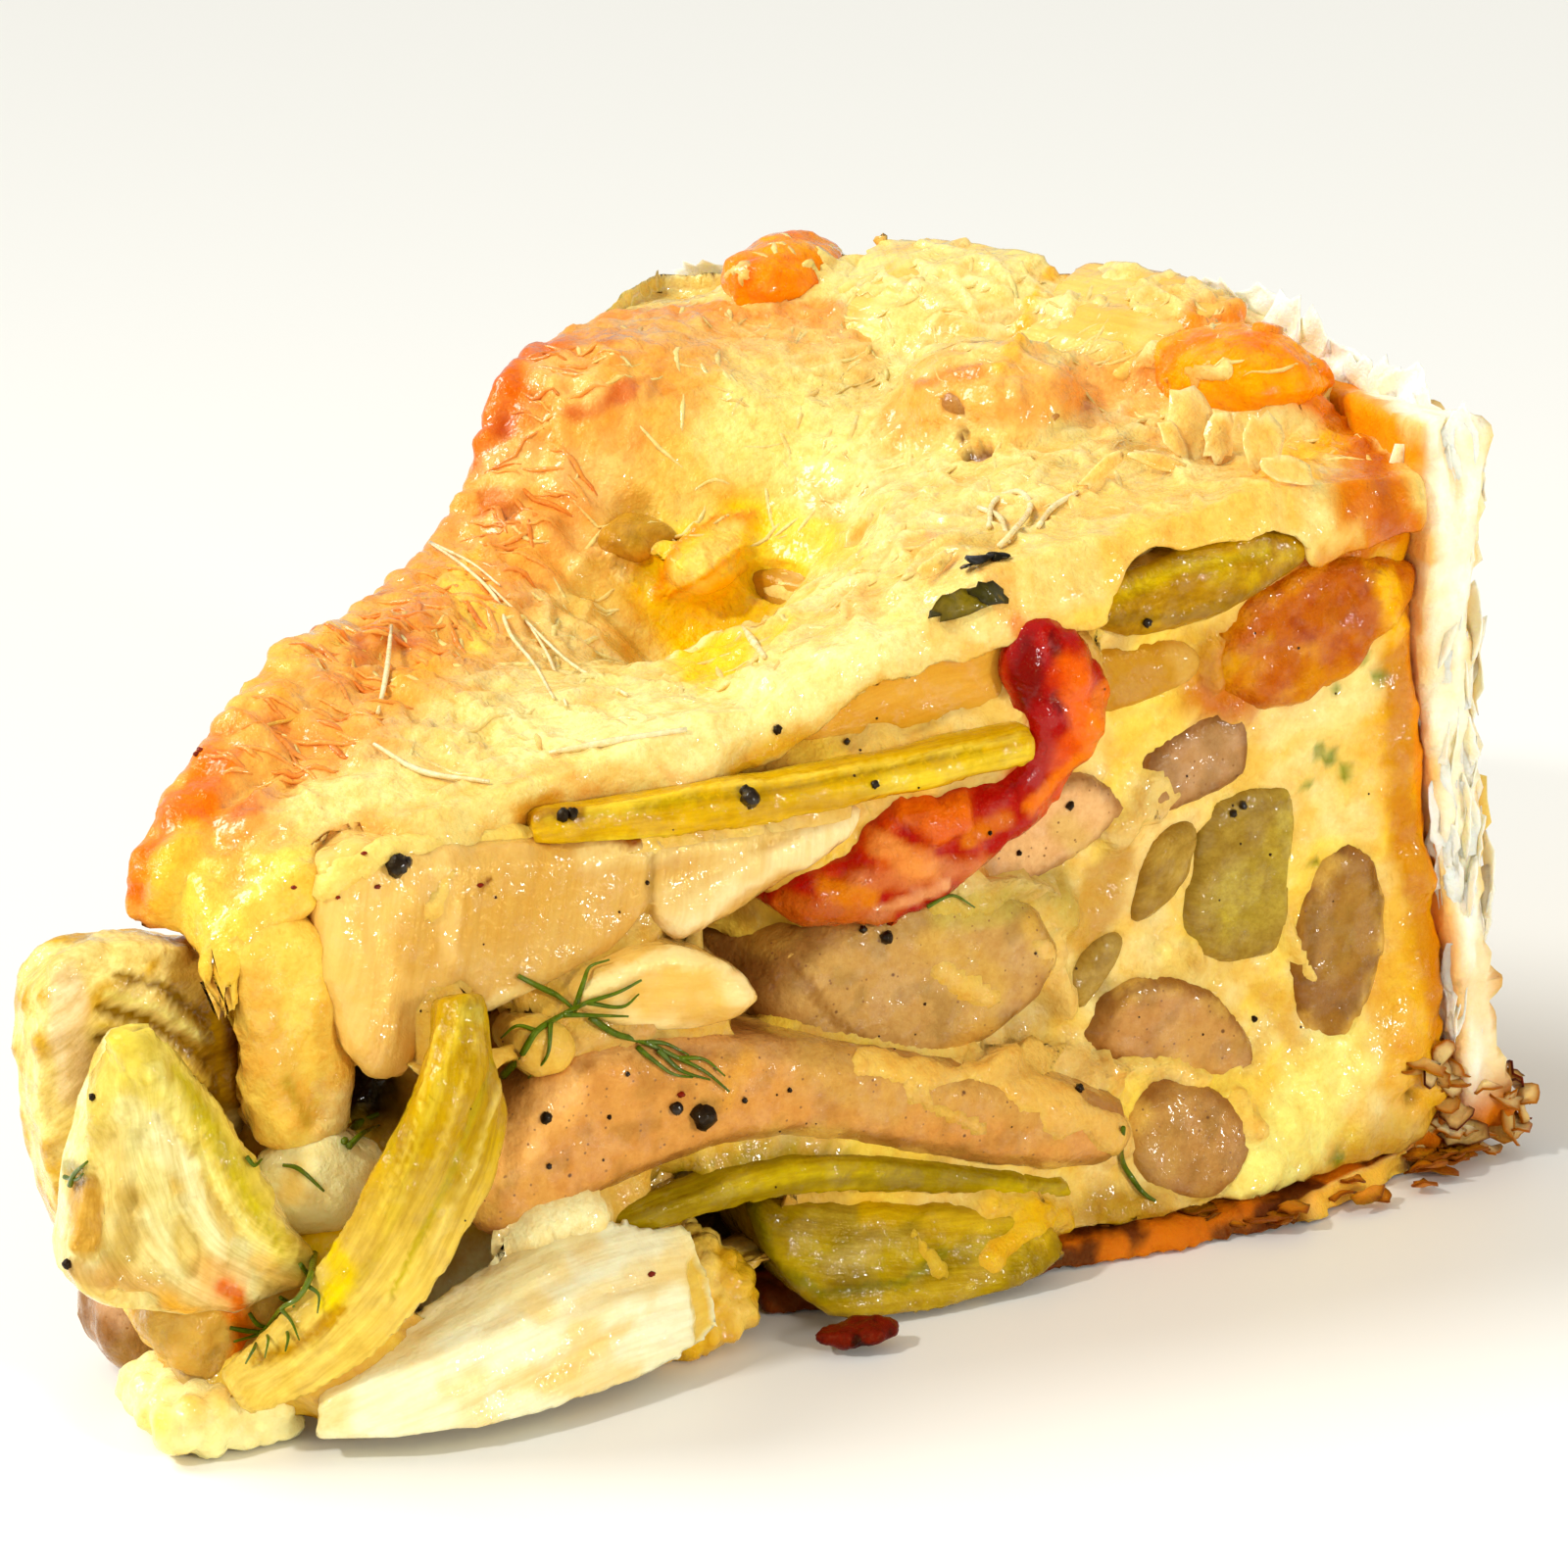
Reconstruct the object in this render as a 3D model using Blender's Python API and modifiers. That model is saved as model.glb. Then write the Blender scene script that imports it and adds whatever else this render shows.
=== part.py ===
"""A cut slice of deep sausage and fennel quiche, standing on its base.

Outlines are given in millimetres on the front cut: u runs along the cut from the tip to the crust,
v is the height, and w is the distance out of the cut. MM turns them into metres.
"""

import math

import bmesh
import bpy
from mathutils import Matrix, Vector, noise
from mathutils.bvhtree import BVHTree

MM = 0.001

# Driving dimensions of the slice, in millimetres and degrees
HALF_ANGLE = 22.8           # half of the angle between the two cuts
FILLING_RADIUS = 117.6      # from the tip to the inner face of the crust
CRUST_THICKNESS = 2.6       # pastry wall
CRUST_LEAN = 6.4            # the wall leans in by this at the top of the front cut
BASE_THICKNESS = 1.9        # pastry under the filling
BASE_START = 50.0           # the base is torn away nearer to the tip than this
WALL_HEIGHT = 66.0          # torn top edge of the pastry wall
TIP_BLUNT = 9.0             # the filling has crumbled away nearer to the tip than this
CHEESE_THICKNESS = 3.4      # melted cheese over the filling
BASIN_DEPTH = 12.5          # sunken pool in the middle of the top
GAP = 0.3                   # clearance between touching pieces
FLOOR_GAP = 0.35            # pieces that hang just clear of the resting plane
BACK_PROUD = 0.6            # fillings stand this far out of the back cut
FLAT_ANGLE = math.radians(0.2)  # neighbouring faces flatter than this are one face
TIP_X = -56.3               # the tip, measured from the middle of the slice's box
TIP_Y = 0.0

HALF = math.radians(HALF_ANGLE)
ALONG = Vector((math.cos(HALF), -math.sin(HALF), 0.0))
OUT = Vector((-math.sin(HALF), -math.cos(HALF), 0.0))
UP = Vector((0.0, 0.0, 1.0))
TIP = Vector((TIP_X, TIP_Y, 0.0))

# Height of the filling along the front cut and along the back cut, as (distance from the tip, height)
FRONT_TOP = [(0, 34), (14, 41.5), (32, 42.6), (50, 45.2), (62, 50.2), (74, 55), (101, 57.8), (118, 58)]
BACK_TOP = [(0, 32), (7, 38), (16, 43), (26, 45.6), (36, 46.4), (54, 46.2), (64, 47.6), (69, 50), (75.5, 60),
            (84, 63), (98, 62), (118, 60.5)]

COLOURS = {
    "custard": ((0.86, 0.66, 0.20), 0.45),
    "cheese": ((0.93, 0.72, 0.28), 0.38),
    "pastry": ((0.86, 0.62, 0.34), 0.75),
    "sausage": ((0.50, 0.30, 0.20), 0.50),
    "fennel_pale": ((0.84, 0.74, 0.42), 0.35),
    "fennel_green": ((0.52, 0.50, 0.09), 0.35),
    "tomato": ((0.62, 0.06, 0.02), 0.25),
    "browned": ((0.72, 0.34, 0.04), 0.30),
    "egg": ((0.94, 0.80, 0.44), 0.40),
}


def material(name):
    """A material of the named colour, made once and then shared."""
    if name in bpy.data.materials:
        return bpy.data.materials[name]
    colour, roughness = COLOURS[name]
    made = bpy.data.materials.new(name)
    made.use_nodes = True
    shader = made.node_tree.nodes["Principled BSDF"]
    shader.inputs["Base Color"].default_value = (*colour, 1.0)
    shader.inputs["Roughness"].default_value = roughness
    shader.inputs["Metallic"].default_value = 0.0
    return made


def smooth(low, high, value):
    """A smooth step from 0 at low to 1 at high."""
    t = min(max((value - low) / (high - low), 0.0), 1.0)
    return t * t * (3.0 - 2.0 * t)


def mix(first, second, amount):
    return first + (second - first) * amount


def read(profile, place):
    """The height of a profile of (place, height) pairs, eased between its points."""
    if place <= profile[0][0]:
        return profile[0][1]
    for (x0, y0), (x1, y1) in zip(profile, profile[1:]):
        if place <= x1:
            return mix(y0, y1, smooth(x0, x1, place))
    return profile[-1][1]


def rough(x, y, z, grain, seed):
    """A repeatable unevenness between -1 and 1, with lumps about grain millimetres across."""
    return noise.noise(Vector((x / grain + seed, y / grain - seed, z / grain + 2.0 * seed)))


def on_cut(u, v, w):
    """A point given on the front cut, in millimetres."""
    return TIP + ALONG * u + UP * v + OUT * w


def on_disc(radius, degrees, height):
    """A point given by its distance and direction from the tip, in millimetres."""
    turn = math.radians(degrees)
    return TIP + Vector((radius * math.cos(turn), radius * math.sin(turn), height))


def filling_top(radius, turn):
    """Height of the filling at a distance from the tip and a direction in radians."""
    across = smooth(-HALF, HALF, turn)
    height = mix(read(FRONT_TOP, radius), read(BACK_TOP, radius), across)
    degrees = math.degrees(turn)
    basin = math.exp(-((radius - 71.0) / 17.0) ** 2 - ((degrees - 3.0) / 8.5) ** 2)
    rim = 3.5 * smooth(96.0, 114.0, radius) * smooth(0.0, 0.25, across)
    return height - BASIN_DEPTH * basin + rim


def crust_lean(b, height):
    """How far the crust leans in over the filling: most at the top of the front cut."""
    return CRUST_LEAN * smooth(5.0, 60.0, height) * (1.0 - 0.8 * smooth(0.0, 0.3, b))


def foot_sag(u, v):
    """How far the custard has slumped out of the front cut at its foot."""
    return 7.0 * smooth(34.0, 58.0, u) * (1.0 - smooth(98.0, 115.0, u)) * max(0.0, 1.0 - v / 15.0) ** 1.4


def front_hollow(u, v):
    """How deep the front cut is hollow near the tip, where the filling has fallen forward."""
    return min(8.5, 0.36 * u) * (1.0 - smooth(42.0, 60.0, u)) * (1.0 - smooth(33.0, 41.0, v))


def mesh_object(name, mesh, slot):
    """Put a mesh into the quiche's collection with its material."""
    mesh.materials.clear()
    mesh.materials.append(material(slot))
    mesh.shade_smooth()
    mesh.set_sharp_from_angle(angle=math.radians(50))
    made = bpy.data.objects.new(name, mesh)
    QUICHE.objects.link(made)
    return made


def evaluated_mesh(source, weld=0.0):
    """The mesh of an object with its modifiers applied, placed in the world."""
    bpy.context.view_layer.update()
    graph = bpy.context.evaluated_depsgraph_get()
    mesh = bpy.data.meshes.new_from_object(source.evaluated_get(graph))
    shape = bmesh.new()
    shape.from_mesh(mesh)
    if weld:
        bmesh.ops.remove_doubles(shape, verts=shape.verts, dist=weld)
    bmesh.ops.transform(shape, matrix=source.matrix_world, verts=shape.verts)
    shape.to_mesh(mesh)
    shape.free()
    return mesh


def freeze(source, name, slot):
    """Turn a working object into a finished mesh object and remove the working one."""
    mesh = evaluated_mesh(source, weld=0.00002)
    mesh.name = name
    data = source.data
    bpy.data.objects.remove(source)
    if isinstance(data, bpy.types.Curve):
        bpy.data.curves.remove(data)
    else:
        bpy.data.meshes.remove(data)
    return mesh_object(name, mesh, slot)


def block(name, slot, cuts, place):
    """A cube cut into a grid, each of whose corners (a, b, c from 0 to 1) goes where place says."""
    shape = bmesh.new()
    bmesh.ops.create_cube(shape, size=1.0, matrix=Matrix.Translation((0.5, 0.5, 0.5)))
    for axis, count in enumerate(cuts):
        rails = [edge for edge in shape.edges
                 if abs(edge.verts[0].co[axis] - edge.verts[1].co[axis]) > 0.5]
        bmesh.ops.subdivide_edges(shape, edges=rails, cuts=count - 1, use_grid_fill=True)
    for vert in shape.verts:
        vert.co = place(*vert.co) * MM
    bmesh.ops.triangulate(shape, faces=shape.faces)
    face_out(shape)
    mesh = bpy.data.meshes.new(name)
    shape.to_mesh(mesh)
    shape.free()
    return mesh_object(name, mesh, slot)


def rounded(points, steps):
    """A smooth closed outline through its corner points."""
    count = len(points)
    outline = []
    for index in range(count):
        p0, p1, p2, p3 = (Vector(points[(index + k) % count]) for k in (-1, 0, 1, 2))
        for step in range(steps):
            t = step / steps
            outline.append(0.5 * (2.0 * p1 + (p2 - p0) * t + (2.0 * p0 - 5.0 * p1 + 4.0 * p2 - p3) * t * t
                                  + (3.0 * p1 - p0 - 3.0 * p2 + p3) * t ** 3))
    return outline


def oval(centre, half, tilt, count=12):
    """The outline of a tilted oval, as cut through a sausage."""
    turn = math.radians(tilt)
    outline = []
    for index in range(count):
        angle = 2.0 * math.pi * index / count
        x = half[0] * math.cos(angle)
        y = half[1] * math.sin(angle)
        outline.append(Vector((centre[0] + x * math.cos(turn) - y * math.sin(turn),
                               centre[1] + x * math.sin(turn) + y * math.cos(turn))))
    return outline


def slab(name, slot, outline, near, far, edge=1.0, lean=0.0, turn=0.0, skew=(0.0, 0.0)):
    """A piece with the given outline on the cut, reaching from far inside to near its face.

    lean moves the piece out with height, turn moves it out along the cut, and skew slants the way it
    runs into the filling.
    """
    curve = bpy.data.curves.new(name, "CURVE")
    curve.dimensions = "2D"
    curve.fill_mode = "BOTH"
    curve.extrude = (near - far) / 2.0 - edge
    curve.bevel_depth = edge
    curve.bevel_resolution = 0
    curve.offset = -edge
    spline = curve.splines.new("POLY")
    spline.points.add(len(outline) - 1)
    spline.use_cyclic_u = True
    for point, (u, v) in zip(spline.points, outline):
        point.co = (u, v, 0.0, 1.0)
    middle = sum((point for point in outline), Vector((0.0, 0.0))) / len(outline)
    working = bpy.data.objects.new(name + "_outline", curve)
    bpy.context.scene.collection.objects.link(working)
    mesh = evaluated_mesh(working, weld=0.00002)
    bpy.data.objects.remove(working)
    bpy.data.curves.remove(curve)
    for vert in mesh.vertices:
        u, v, depth = vert.co
        w = depth + (near + far) / 2.0
        inward = near - w
        w += lean * (v - middle[1]) + turn * (u - middle[0])
        v = max(v + skew[1] * inward, FLOOR_GAP)
        vert.co = on_cut(u + skew[0] * inward, v, w) * MM
    mesh.update()
    return mesh_object(name, triangulated(mesh), slot)


def face_out(shape):
    """Turn every face of a closed shape outwards."""
    bmesh.ops.recalc_face_normals(shape, faces=shape.faces)
    if shape.calc_volume(signed=True) < 0.0:
        bmesh.ops.reverse_faces(shape, faces=shape.faces)


def triangulated(mesh):
    shape = bmesh.new()
    shape.from_mesh(mesh)
    bmesh.ops.triangulate(shape, faces=shape.faces)
    face_out(shape)
    shape.to_mesh(mesh)
    shape.free()
    return mesh


def stalk(name, slot, route, section):
    """A stalk swept along a smooth route of (point, size) pairs, with a closed cross-section."""
    profile = bpy.data.curves.new(name + "_section", "CURVE")
    profile.dimensions = "2D"
    ring = profile.splines.new("POLY")
    ring.points.add(len(section) - 1)
    ring.use_cyclic_u = True
    for point, (x, y) in zip(ring.points, section):
        point.co = (x, y, 0.0, 1.0)
    guide = bpy.data.objects.new(name + "_section", profile)
    bpy.context.scene.collection.objects.link(guide)
    curve = bpy.data.curves.new(name, "CURVE")
    curve.dimensions = "3D"
    curve.bevel_mode = "OBJECT"
    curve.bevel_object = guide
    curve.use_fill_caps = True
    curve.resolution_u = 3
    curve.twist_mode = "Z_UP"
    spline = curve.splines.new("NURBS")
    spline.points.add(len(route) - 1)
    spline.order_u = 3
    spline.use_endpoint_u = True
    for point, (place, size) in zip(spline.points, route):
        point.co = (*(place * MM), 1.0)
        point.radius = size * MM
    working = bpy.data.objects.new(name + "_route", curve)
    bpy.context.scene.collection.objects.link(working)
    made = freeze(working, name, slot)
    bpy.data.objects.remove(guide)
    bpy.data.curves.remove(profile)
    triangulated(made.data)
    return made


def layer(name, slot, lower, upper, thickness, bulge, cuts=(9, 4)):
    """A curved layer of fennel between a lower and an upper edge, each a list of points.

    The sheet bows out by bulge (a vector) in its middle and is thickened to the side away from it.
    """
    def edge_point(points, s):
        place = s * (len(points) - 1)
        index = min(int(place), len(points) - 2)
        return points[index].lerp(points[index + 1], place - index)

    shape = bmesh.new()
    bmesh.ops.create_grid(shape, x_segments=cuts[0], y_segments=cuts[1], size=0.5)
    for vert in shape.verts:
        s = vert.co.x + 0.5
        t = vert.co.y + 0.5
        place = edge_point(lower, s).lerp(edge_point(upper, s), t)
        bow = math.sin(math.pi * t) * (0.4 + 0.6 * math.sin(math.pi * s))
        vert.co = (place + bulge * bow) * MM
    mesh = bpy.data.meshes.new(name)
    shape.to_mesh(mesh)
    shape.free()
    working = bpy.data.objects.new(name + "_sheet", mesh)
    bpy.context.scene.collection.objects.link(working)
    thicken = working.modifiers.new("thickness", "SOLIDIFY")
    thicken.thickness = thickness * MM
    thicken.offset = 0.0
    thicken.use_even_offset = False
    made = freeze(working, name, slot)
    triangulated(made.data)
    return made


def lump(name, slot, centre, half, turn=0.0, tilt=0.0, seed=1.0):
    """A soft uneven lump, such as a tomato half or a spoon of egg, turned about the vertical."""
    shape = bmesh.new()
    bmesh.ops.create_uvsphere(shape, u_segments=10, v_segments=6, radius=1.0)
    spin = Matrix.Rotation(math.radians(turn), 3, "Z") @ Matrix.Rotation(math.radians(tilt), 3, "Y")
    for vert in shape.verts:
        swell = 1.0 + 0.16 * rough(*(vert.co * 2.0), 1.0, seed)
        body = Vector((vert.co.x * half[0], vert.co.y * half[1], vert.co.z * half[2])) * swell
        place = centre + spin @ body
        place.z = max(place.z, FLOOR_GAP)
        vert.co = place * MM
    bmesh.ops.triangulate(shape, faces=shape.faces)
    mesh = bpy.data.meshes.new(name)
    shape.to_mesh(mesh)
    shape.free()
    return mesh_object(name, mesh, slot)


# The filling, the cheese and the pastry

def custard_place(a, b, c):
    """The set custard: a from tip to crust, b from the front cut to the back cut, c upwards."""
    radius = mix(TIP_BLUNT, FILLING_RADIUS - GAP, a)
    turn = mix(-HALF, HALF, b)
    low = mix(FLOOR_GAP, BASE_THICKNESS + GAP, smooth(BASE_START - 9.0, BASE_START - 4.0, radius))
    height = mix(low, filling_top(radius, turn) + 0.5 * CHEESE_THICKNESS, c)
    turn = mix(-HALF + front_hollow(radius, height) / radius, HALF, b)
    leaned = radius - crust_lean(b, height) * smooth(85.0, 117.0, radius)
    place = on_disc(leaned, math.degrees(turn), height)
    place += OUT * foot_sag(radius, height) * (1.0 - smooth(0.0, 0.45, b))
    back = Vector((-math.sin(HALF), math.cos(HALF), 0.0))
    sag = 1.6 * max(0.0, 1.0 - height / 18.0) * smooth(0.7, 1.0, b)
    place += back * (sag + 0.7 * rough(radius, height, 0.0, 11.0, 3.0) * smooth(0.7, 1.0, b))
    return place


def cheese_place(a, b, c):
    """The melted cheese: it follows the filling, rolls into a browned lip and sags over the front."""
    radius = mix(TIP_BLUNT - 4.0, FILLING_RADIUS, a)
    turn = mix(-HALF, HALF, b)
    lip = smooth(0.80, 0.97, b) * (1.0 - smooth(66.0, 84.0, radius))
    bead = 0.9 * rough(radius, 40.0 * turn, 0.0, 6.0, 5.0)
    thick = CHEESE_THICKNESS + bead + 1.9 * lip - 1.2 * smooth(0.93, 1.0, b)
    height = filling_top(radius, turn) + GAP
    leaned = radius - crust_lean(b, height) * smooth(85.0, 117.0, radius)
    place = on_disc(leaned, math.degrees(turn), height + thick * c)
    back = Vector((-math.sin(HALF), math.cos(HALF), 0.0))
    place += back * (1.2 * lip + 1.3) * smooth(0.85, 1.0, b)
    droop = (1.0 - smooth(14.0, 34.0, radius)) * (1.0 - smooth(0.0, 0.4, b))
    place += OUT * ((1.8 + 2.4 * droop) * (1.0 - smooth(0.0, 0.16, b)))
    place += UP * (-2.2 * droop * (1.0 - smooth(0.0, 0.2, b)))
    return place


def case_place(a, b, c):
    """The pastry: a runs in along the base, round the foot and up the wall; b turns; c is thickness."""
    turn = mix(-HALF - 0.006, HALF + 0.006, b)
    torn = 2.2 * rough(60.0 * b, 0.0, 0.0, 7.0, 4.0)
    outer = FILLING_RADIUS + GAP + CRUST_THICKNESS
    corner = 0.52
    flare = 3.2 * (1.0 - smooth(0.0, 15.0, (a - corner) * 2.2 * WALL_HEIGHT)) * smooth(0.36, corner, a)
    frill = 0.8 * math.sin(52.0 * turn + 9.0 * a)
    if a <= corner:
        radius = mix(BASE_START + torn, outer + flare, a / corner)
        height = BASE_THICKNESS * c
        if a > corner - 0.02:
            radius = outer + flare - (CRUST_THICKNESS + flare) * c
    else:
        rise = (a - corner) / (1.0 - corner)
        top = WALL_HEIGHT + 2.6 * rough(70.0 * b, 3.0, 0.0, 8.0, 6.0) - 1.5 * smooth(0.75, 1.0, b)
        top += 3.4 * math.exp(-((b - 0.38) / 0.09) ** 2)
        radius = outer + flare + frill * smooth(0.1, 0.4, rise) * (1.0 - c) - CRUST_THICKNESS * c
        radius -= flare * c * 0.9
        height = mix(BASE_THICKNESS * c, top, rise)
        radius -= crust_lean(b, height) * (0.6 + 0.4 * c)
    sag = foot_sag(radius, height) * (1.0 - smooth(0.0, 0.45, b))
    return on_disc(radius, math.degrees(turn), height) + OUT * sag


# Pieces that run across the slice go at right angles to its middle line, and past the back cut
ACROSS = -math.tan(HALF)
THROUGH = -104.0

# Pieces that show as ovals on the cut: centre, half sizes, tilt, face, depth and slant
ROUND_PIECES = {
    "sausage_round_big": dict(
        centre=(64.8, 25.7), half=(13.2, 7.6), tilt=2, near=3.6, far=THROUGH, edge=1.6, skew=(ACROSS, -0.03)),
    "sausage_round_low": dict(
        centre=(90.0, 7.6), half=(5.9, 4.8), tilt=-20, near=3.8, far=THROUGH, edge=0.8, lean=-0.28,
        skew=(ACROSS, 0.0)),
    "sausage_oval": dict(
        centre=(105.9, 21.3), half=(8.9, 4.2), tilt=84, near=0.4, far=THROUGH, edge=0.6, skew=(ACROSS, 0.05)),
    "sausage_tip": dict(centre=(1.2, 4.7), half=(4.0, 4.1), tilt=10, near=-2.2, far=-11, edge=1.2),
    "fennel_knob": dict(centre=(29.6, 27.2), half=(2.6, 2.0), tilt=-20, near=9.5, far=3.5, edge=0.8),
}

# Pieces with an outline of their own on the cut, with what they are made of, their face and depth
CUT_PIECES = {
    "sausage_long": dict(
        slot="sausage", near=8.6, far=-6.5, edge=1.5, turn=-0.045,
        outline=[(26.2, 12.2), (24.2, 15.5), (28.0, 23.8), (34.4, 26.8), (51, 23.7), (68.4, 18), (81.6, 13.2),
                 (80.3, 8.2), (68.5, 10.4), (51, 16.3), (38, 15.4)]),
    "sausage_round_mid": dict(
        slot="sausage", near=0.9, far=THROUGH, edge=0.7, skew=(ACROSS, 0.02),
        outline=[(81.2, 17.2), (86.6, 21.3), (93.6, 19.2), (97.7, 13.4), (96.6, 10.9), (88.2, 12.9)]),
    "sausage_upper_right": dict(
        slot="sausage", near=0.5, far=THROUGH, edge=0.5, skew=(ACROSS, 0.03),
        outline=[(87.0, 40.2), (91.4, 43.1), (95.6, 42.9), (95.9, 38.2), (91.9, 36.4), (86.8, 35.9)]),
    "sausage_upper_left": dict(
        slot="sausage", near=0.9, far=-26, edge=0.6, skew=(ACROSS, 0.0),
        outline=[(69.3, 34.4), (74.0, 38.8), (80.6, 40.2), (84.6, 36.4), (79.2, 32.9), (72.0, 30.8)]),
    "fennel_large": dict(
        slot="fennel_pale", near=6.4, far=-3.5, edge=0.9, lean=-0.16,
        outline=[(13.4, 42.8), (22, 43.0), (40, 41.6), (58.2, 41.2), (51.5, 37.0), (42.2, 33.6), (39.4, 36.0),
                 (36.4, 33.4), (25.6, 30.2), (23.4, 32.4), (18.6, 26.6), (14.6, 29.0)]),
    "fennel_bulb_top": dict(
        slot="fennel_pale", near=1.2, far=-10, edge=0.7,
        outline=[(54.4, 46.6), (61.9, 52.4), (72.4, 54.6), (73.8, 50.0), (73.6, 46.0), (66.0, 45.9)]),
    "fennel_bulb_right": dict(
        slot="fennel_pale", near=0.6, far=THROUGH, edge=0.5, skew=(ACROSS, 0.0),
        outline=[(81.3, 50.2), (90.6, 49.8), (90.9, 47.1), (86.2, 45.5), (81.5, 45.3)]),
    "fennel_block": dict(
        slot="fennel_green", near=0.4, far=THROUGH, edge=0.5, skew=(ACROSS, 0.05),
        outline=[(93.4, 35.2), (100.4, 36.2), (100.6, 29), (99.4, 21.8), (91.4, 23.2), (91.9, 30)]),
    "fennel_wedge": dict(
        slot="fennel_green", near=0.4, far=-14, edge=0.4,
        outline=[(87.6, 33.2), (91.2, 34.3), (90.8, 30.2), (87.4, 26.9), (85.6, 27.0)]),
    "fennel_bit": dict(
        slot="fennel_green", near=0.4, far=-9, edge=0.4,
        outline=[(79.6, 22.0), (82.4, 25.4), (84.8, 25.2), (83.4, 22.2), (80.8, 19.6)]),
    "fennel_stalk_top": dict(
        slot="fennel_green", near=2.4, far=-22, edge=0.8, skew=(-0.1, 0.0),
        outline=[(80.4, 54.8), (88, 57.8), (99.2, 58.7), (99.8, 56.0), (91.0, 52.4), (83.0, 51.8)]),
    "tomato_cut": dict(
        slot="tomato", near=4.0, far=-9, edge=1.2,
        outline=[(73.0, 53.7), (76.4, 53.9), (78.9, 51.4), (80.9, 47.0), (79.2, 43.0), (76.6, 39.4), (70.6, 35.2),
                 (66.2, 32.0), (61.3, 30.8), (56.5, 31.4), (51.2, 34.2), (58.4, 37.0), (62.6, 40.2), (67.3, 41.2),
                 (71.4, 41.2), (73.6, 44.6), (72.4, 49.3)]),
    "browned_corner": dict(
        slot="browned", near=1.4, far=-13, edge=0.9,
        outline=[(92.6, 50.0), (99.6, 55.6), (111, 53.9), (108.4, 48.6), (101, 43.9), (94.0, 45.2)]),
    "fennel_almond": dict(
        slot="fennel_pale", near=9.0, far=0.5, edge=0.7,
        outline=[(32.4, 31.2), (37.6, 33.6), (43.6, 32.4), (47.6, 28.4), (42.0, 26.8), (34.8, 28.6)]),
    "fennel_left": dict(
        slot="fennel_green", near=9.0, far=1.0, edge=1.2, lean=-0.10,
        outline=[(-2.0, 31.6), (1.6, 27.6), (6.2, 21.4), (9.4, 13.4), (4.0, 10.4), (-5.6, 12.6), (-8.0, 16.2),
                 (-5.4, 25.6)]),
    "fennel_far_left": dict(
        slot="fennel_green", near=-0.4, far=-9.0, edge=1.3,
        outline=[(-6.6, 33.6), (-2.8, 35.8), (3.4, 35.4), (8.4, 32.6), (8.6, 24.0), (5.4, 14.2), (0.8, 9.8),
                 (-4.6, 12.4), (-7.0, 22.6)]),
    "cheese_drip": dict(
        slot="cheese", near=5.4, far=-1.0, edge=1.0,
        outline=[(6.0, 37.6), (9.6, 38.4), (13.2, 37.6), (14.2, 30.2), (15.0, 24.0), (12.8, 21.2), (8.4, 22.0),
                 (7.4, 29.4)]),
    "custard_spill": dict(
        slot="browned", near=8.0, far=-1.5, edge=1.2, lean=-0.12,
        outline=[(4.2, 15.0), (8.4, 13.0), (10.2, 9.6), (7.4, 5.0), (1.6, 4.8), (-1.6, 8.6), (0.4, 12.0)]),
    "egg_yolk": dict(
        slot="egg", near=7.4, far=0.4, edge=1.1,
        outline=[(10.6, 13.4), (14.4, 14.4), (17.6, 13.0), (16.4, 9.2), (11.8, 6.6), (9.8, 9.6)]),
    "custard_foot": dict(
        slot="egg", near=11.6, far=0.6, edge=0.5,
        outline=[(-2.4, 3.4), (1.2, 4.4), (7.2, 3.6), (8.2, 1.0), (4.0, 0.5), (-2.2, 0.6)]),
    "fennel_lower": dict(
        slot="fennel_green", near=8.6, far=-6.0, edge=0.6, lean=-0.62,
        outline=[(49.2, 9.4), (56.8, 8.4), (65.4, 6.8), (73.2, 4.6), (74.4, 2.2), (68.7, 0.7), (57, 0.6),
                 (51.4, 2.6)]),
    "egg_crumble": dict(
        slot="egg", near=9.4, far=1.0, edge=1.0, lean=-0.5,
        outline=[(43.4, 7.6), (46.4, 5.0), (46.4, 2.4), (43.2, 0.7), (38.6, 0.7), (38.4, 3.4), (41.4, 6.0)]),
}


def crescent(width, height, hollow):
    """A stalk's section: rounded outside and hollow inside."""
    return [(-0.5 * width, -0.2 * height), (-0.42 * width, 0.3 * height), (0.0, 0.5 * height),
            (0.42 * width, 0.3 * height), (0.5 * width, -0.2 * height), (0.36 * width, -0.5 * height),
            (0.0, (0.5 - hollow) * -height), (-0.36 * width, -0.5 * height)]


def make_stalks():
    """The long fibrous stalks, each following the way it lies in the slice."""
    return [
        stalk("fennel_stalk_yellow", "fennel_green",
              [(on_cut(31, 43.4, 3.2), 0.7), (on_cut(42, 43.4, 4.4), 1.0), (on_cut(57, 43.6, 4.2), 1.0),
               (on_cut(73, 45.0, 4.0), 0.9)],
              crescent(4.6, 3.2, 0.2)),
        stalk("fennel_stalk_green", "fennel_green",
              [(on_cut(31, 10.9, 7.4), 0.5), (on_cut(39, 12.6, 8.6), 0.9), (on_cut(48, 13.8, 6.8), 1.1),
               (on_cut(60, 11.4, 5.2), 1.0), (on_cut(77, 6.2, 4.4), 0.5)],
              crescent(5.0, 2.8, 0.25)),
        stalk("fennel_stalk_curved", "fennel_green",
              [(on_cut(21.9, 33.0, 10.4), 0.62), (on_cut(21.4, 27.6, 12.6), 1.0), (on_cut(18.0, 21.0, 14.0), 0.95),
               (on_cut(13.6, 14.0, 14.4), 0.84), (on_cut(7.6, 7.6, 13.2), 0.72), (on_cut(2.6, 5.4, 12.2), 0.4)],
              crescent(5.2, 9.0, 0.15)),
    ]


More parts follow.
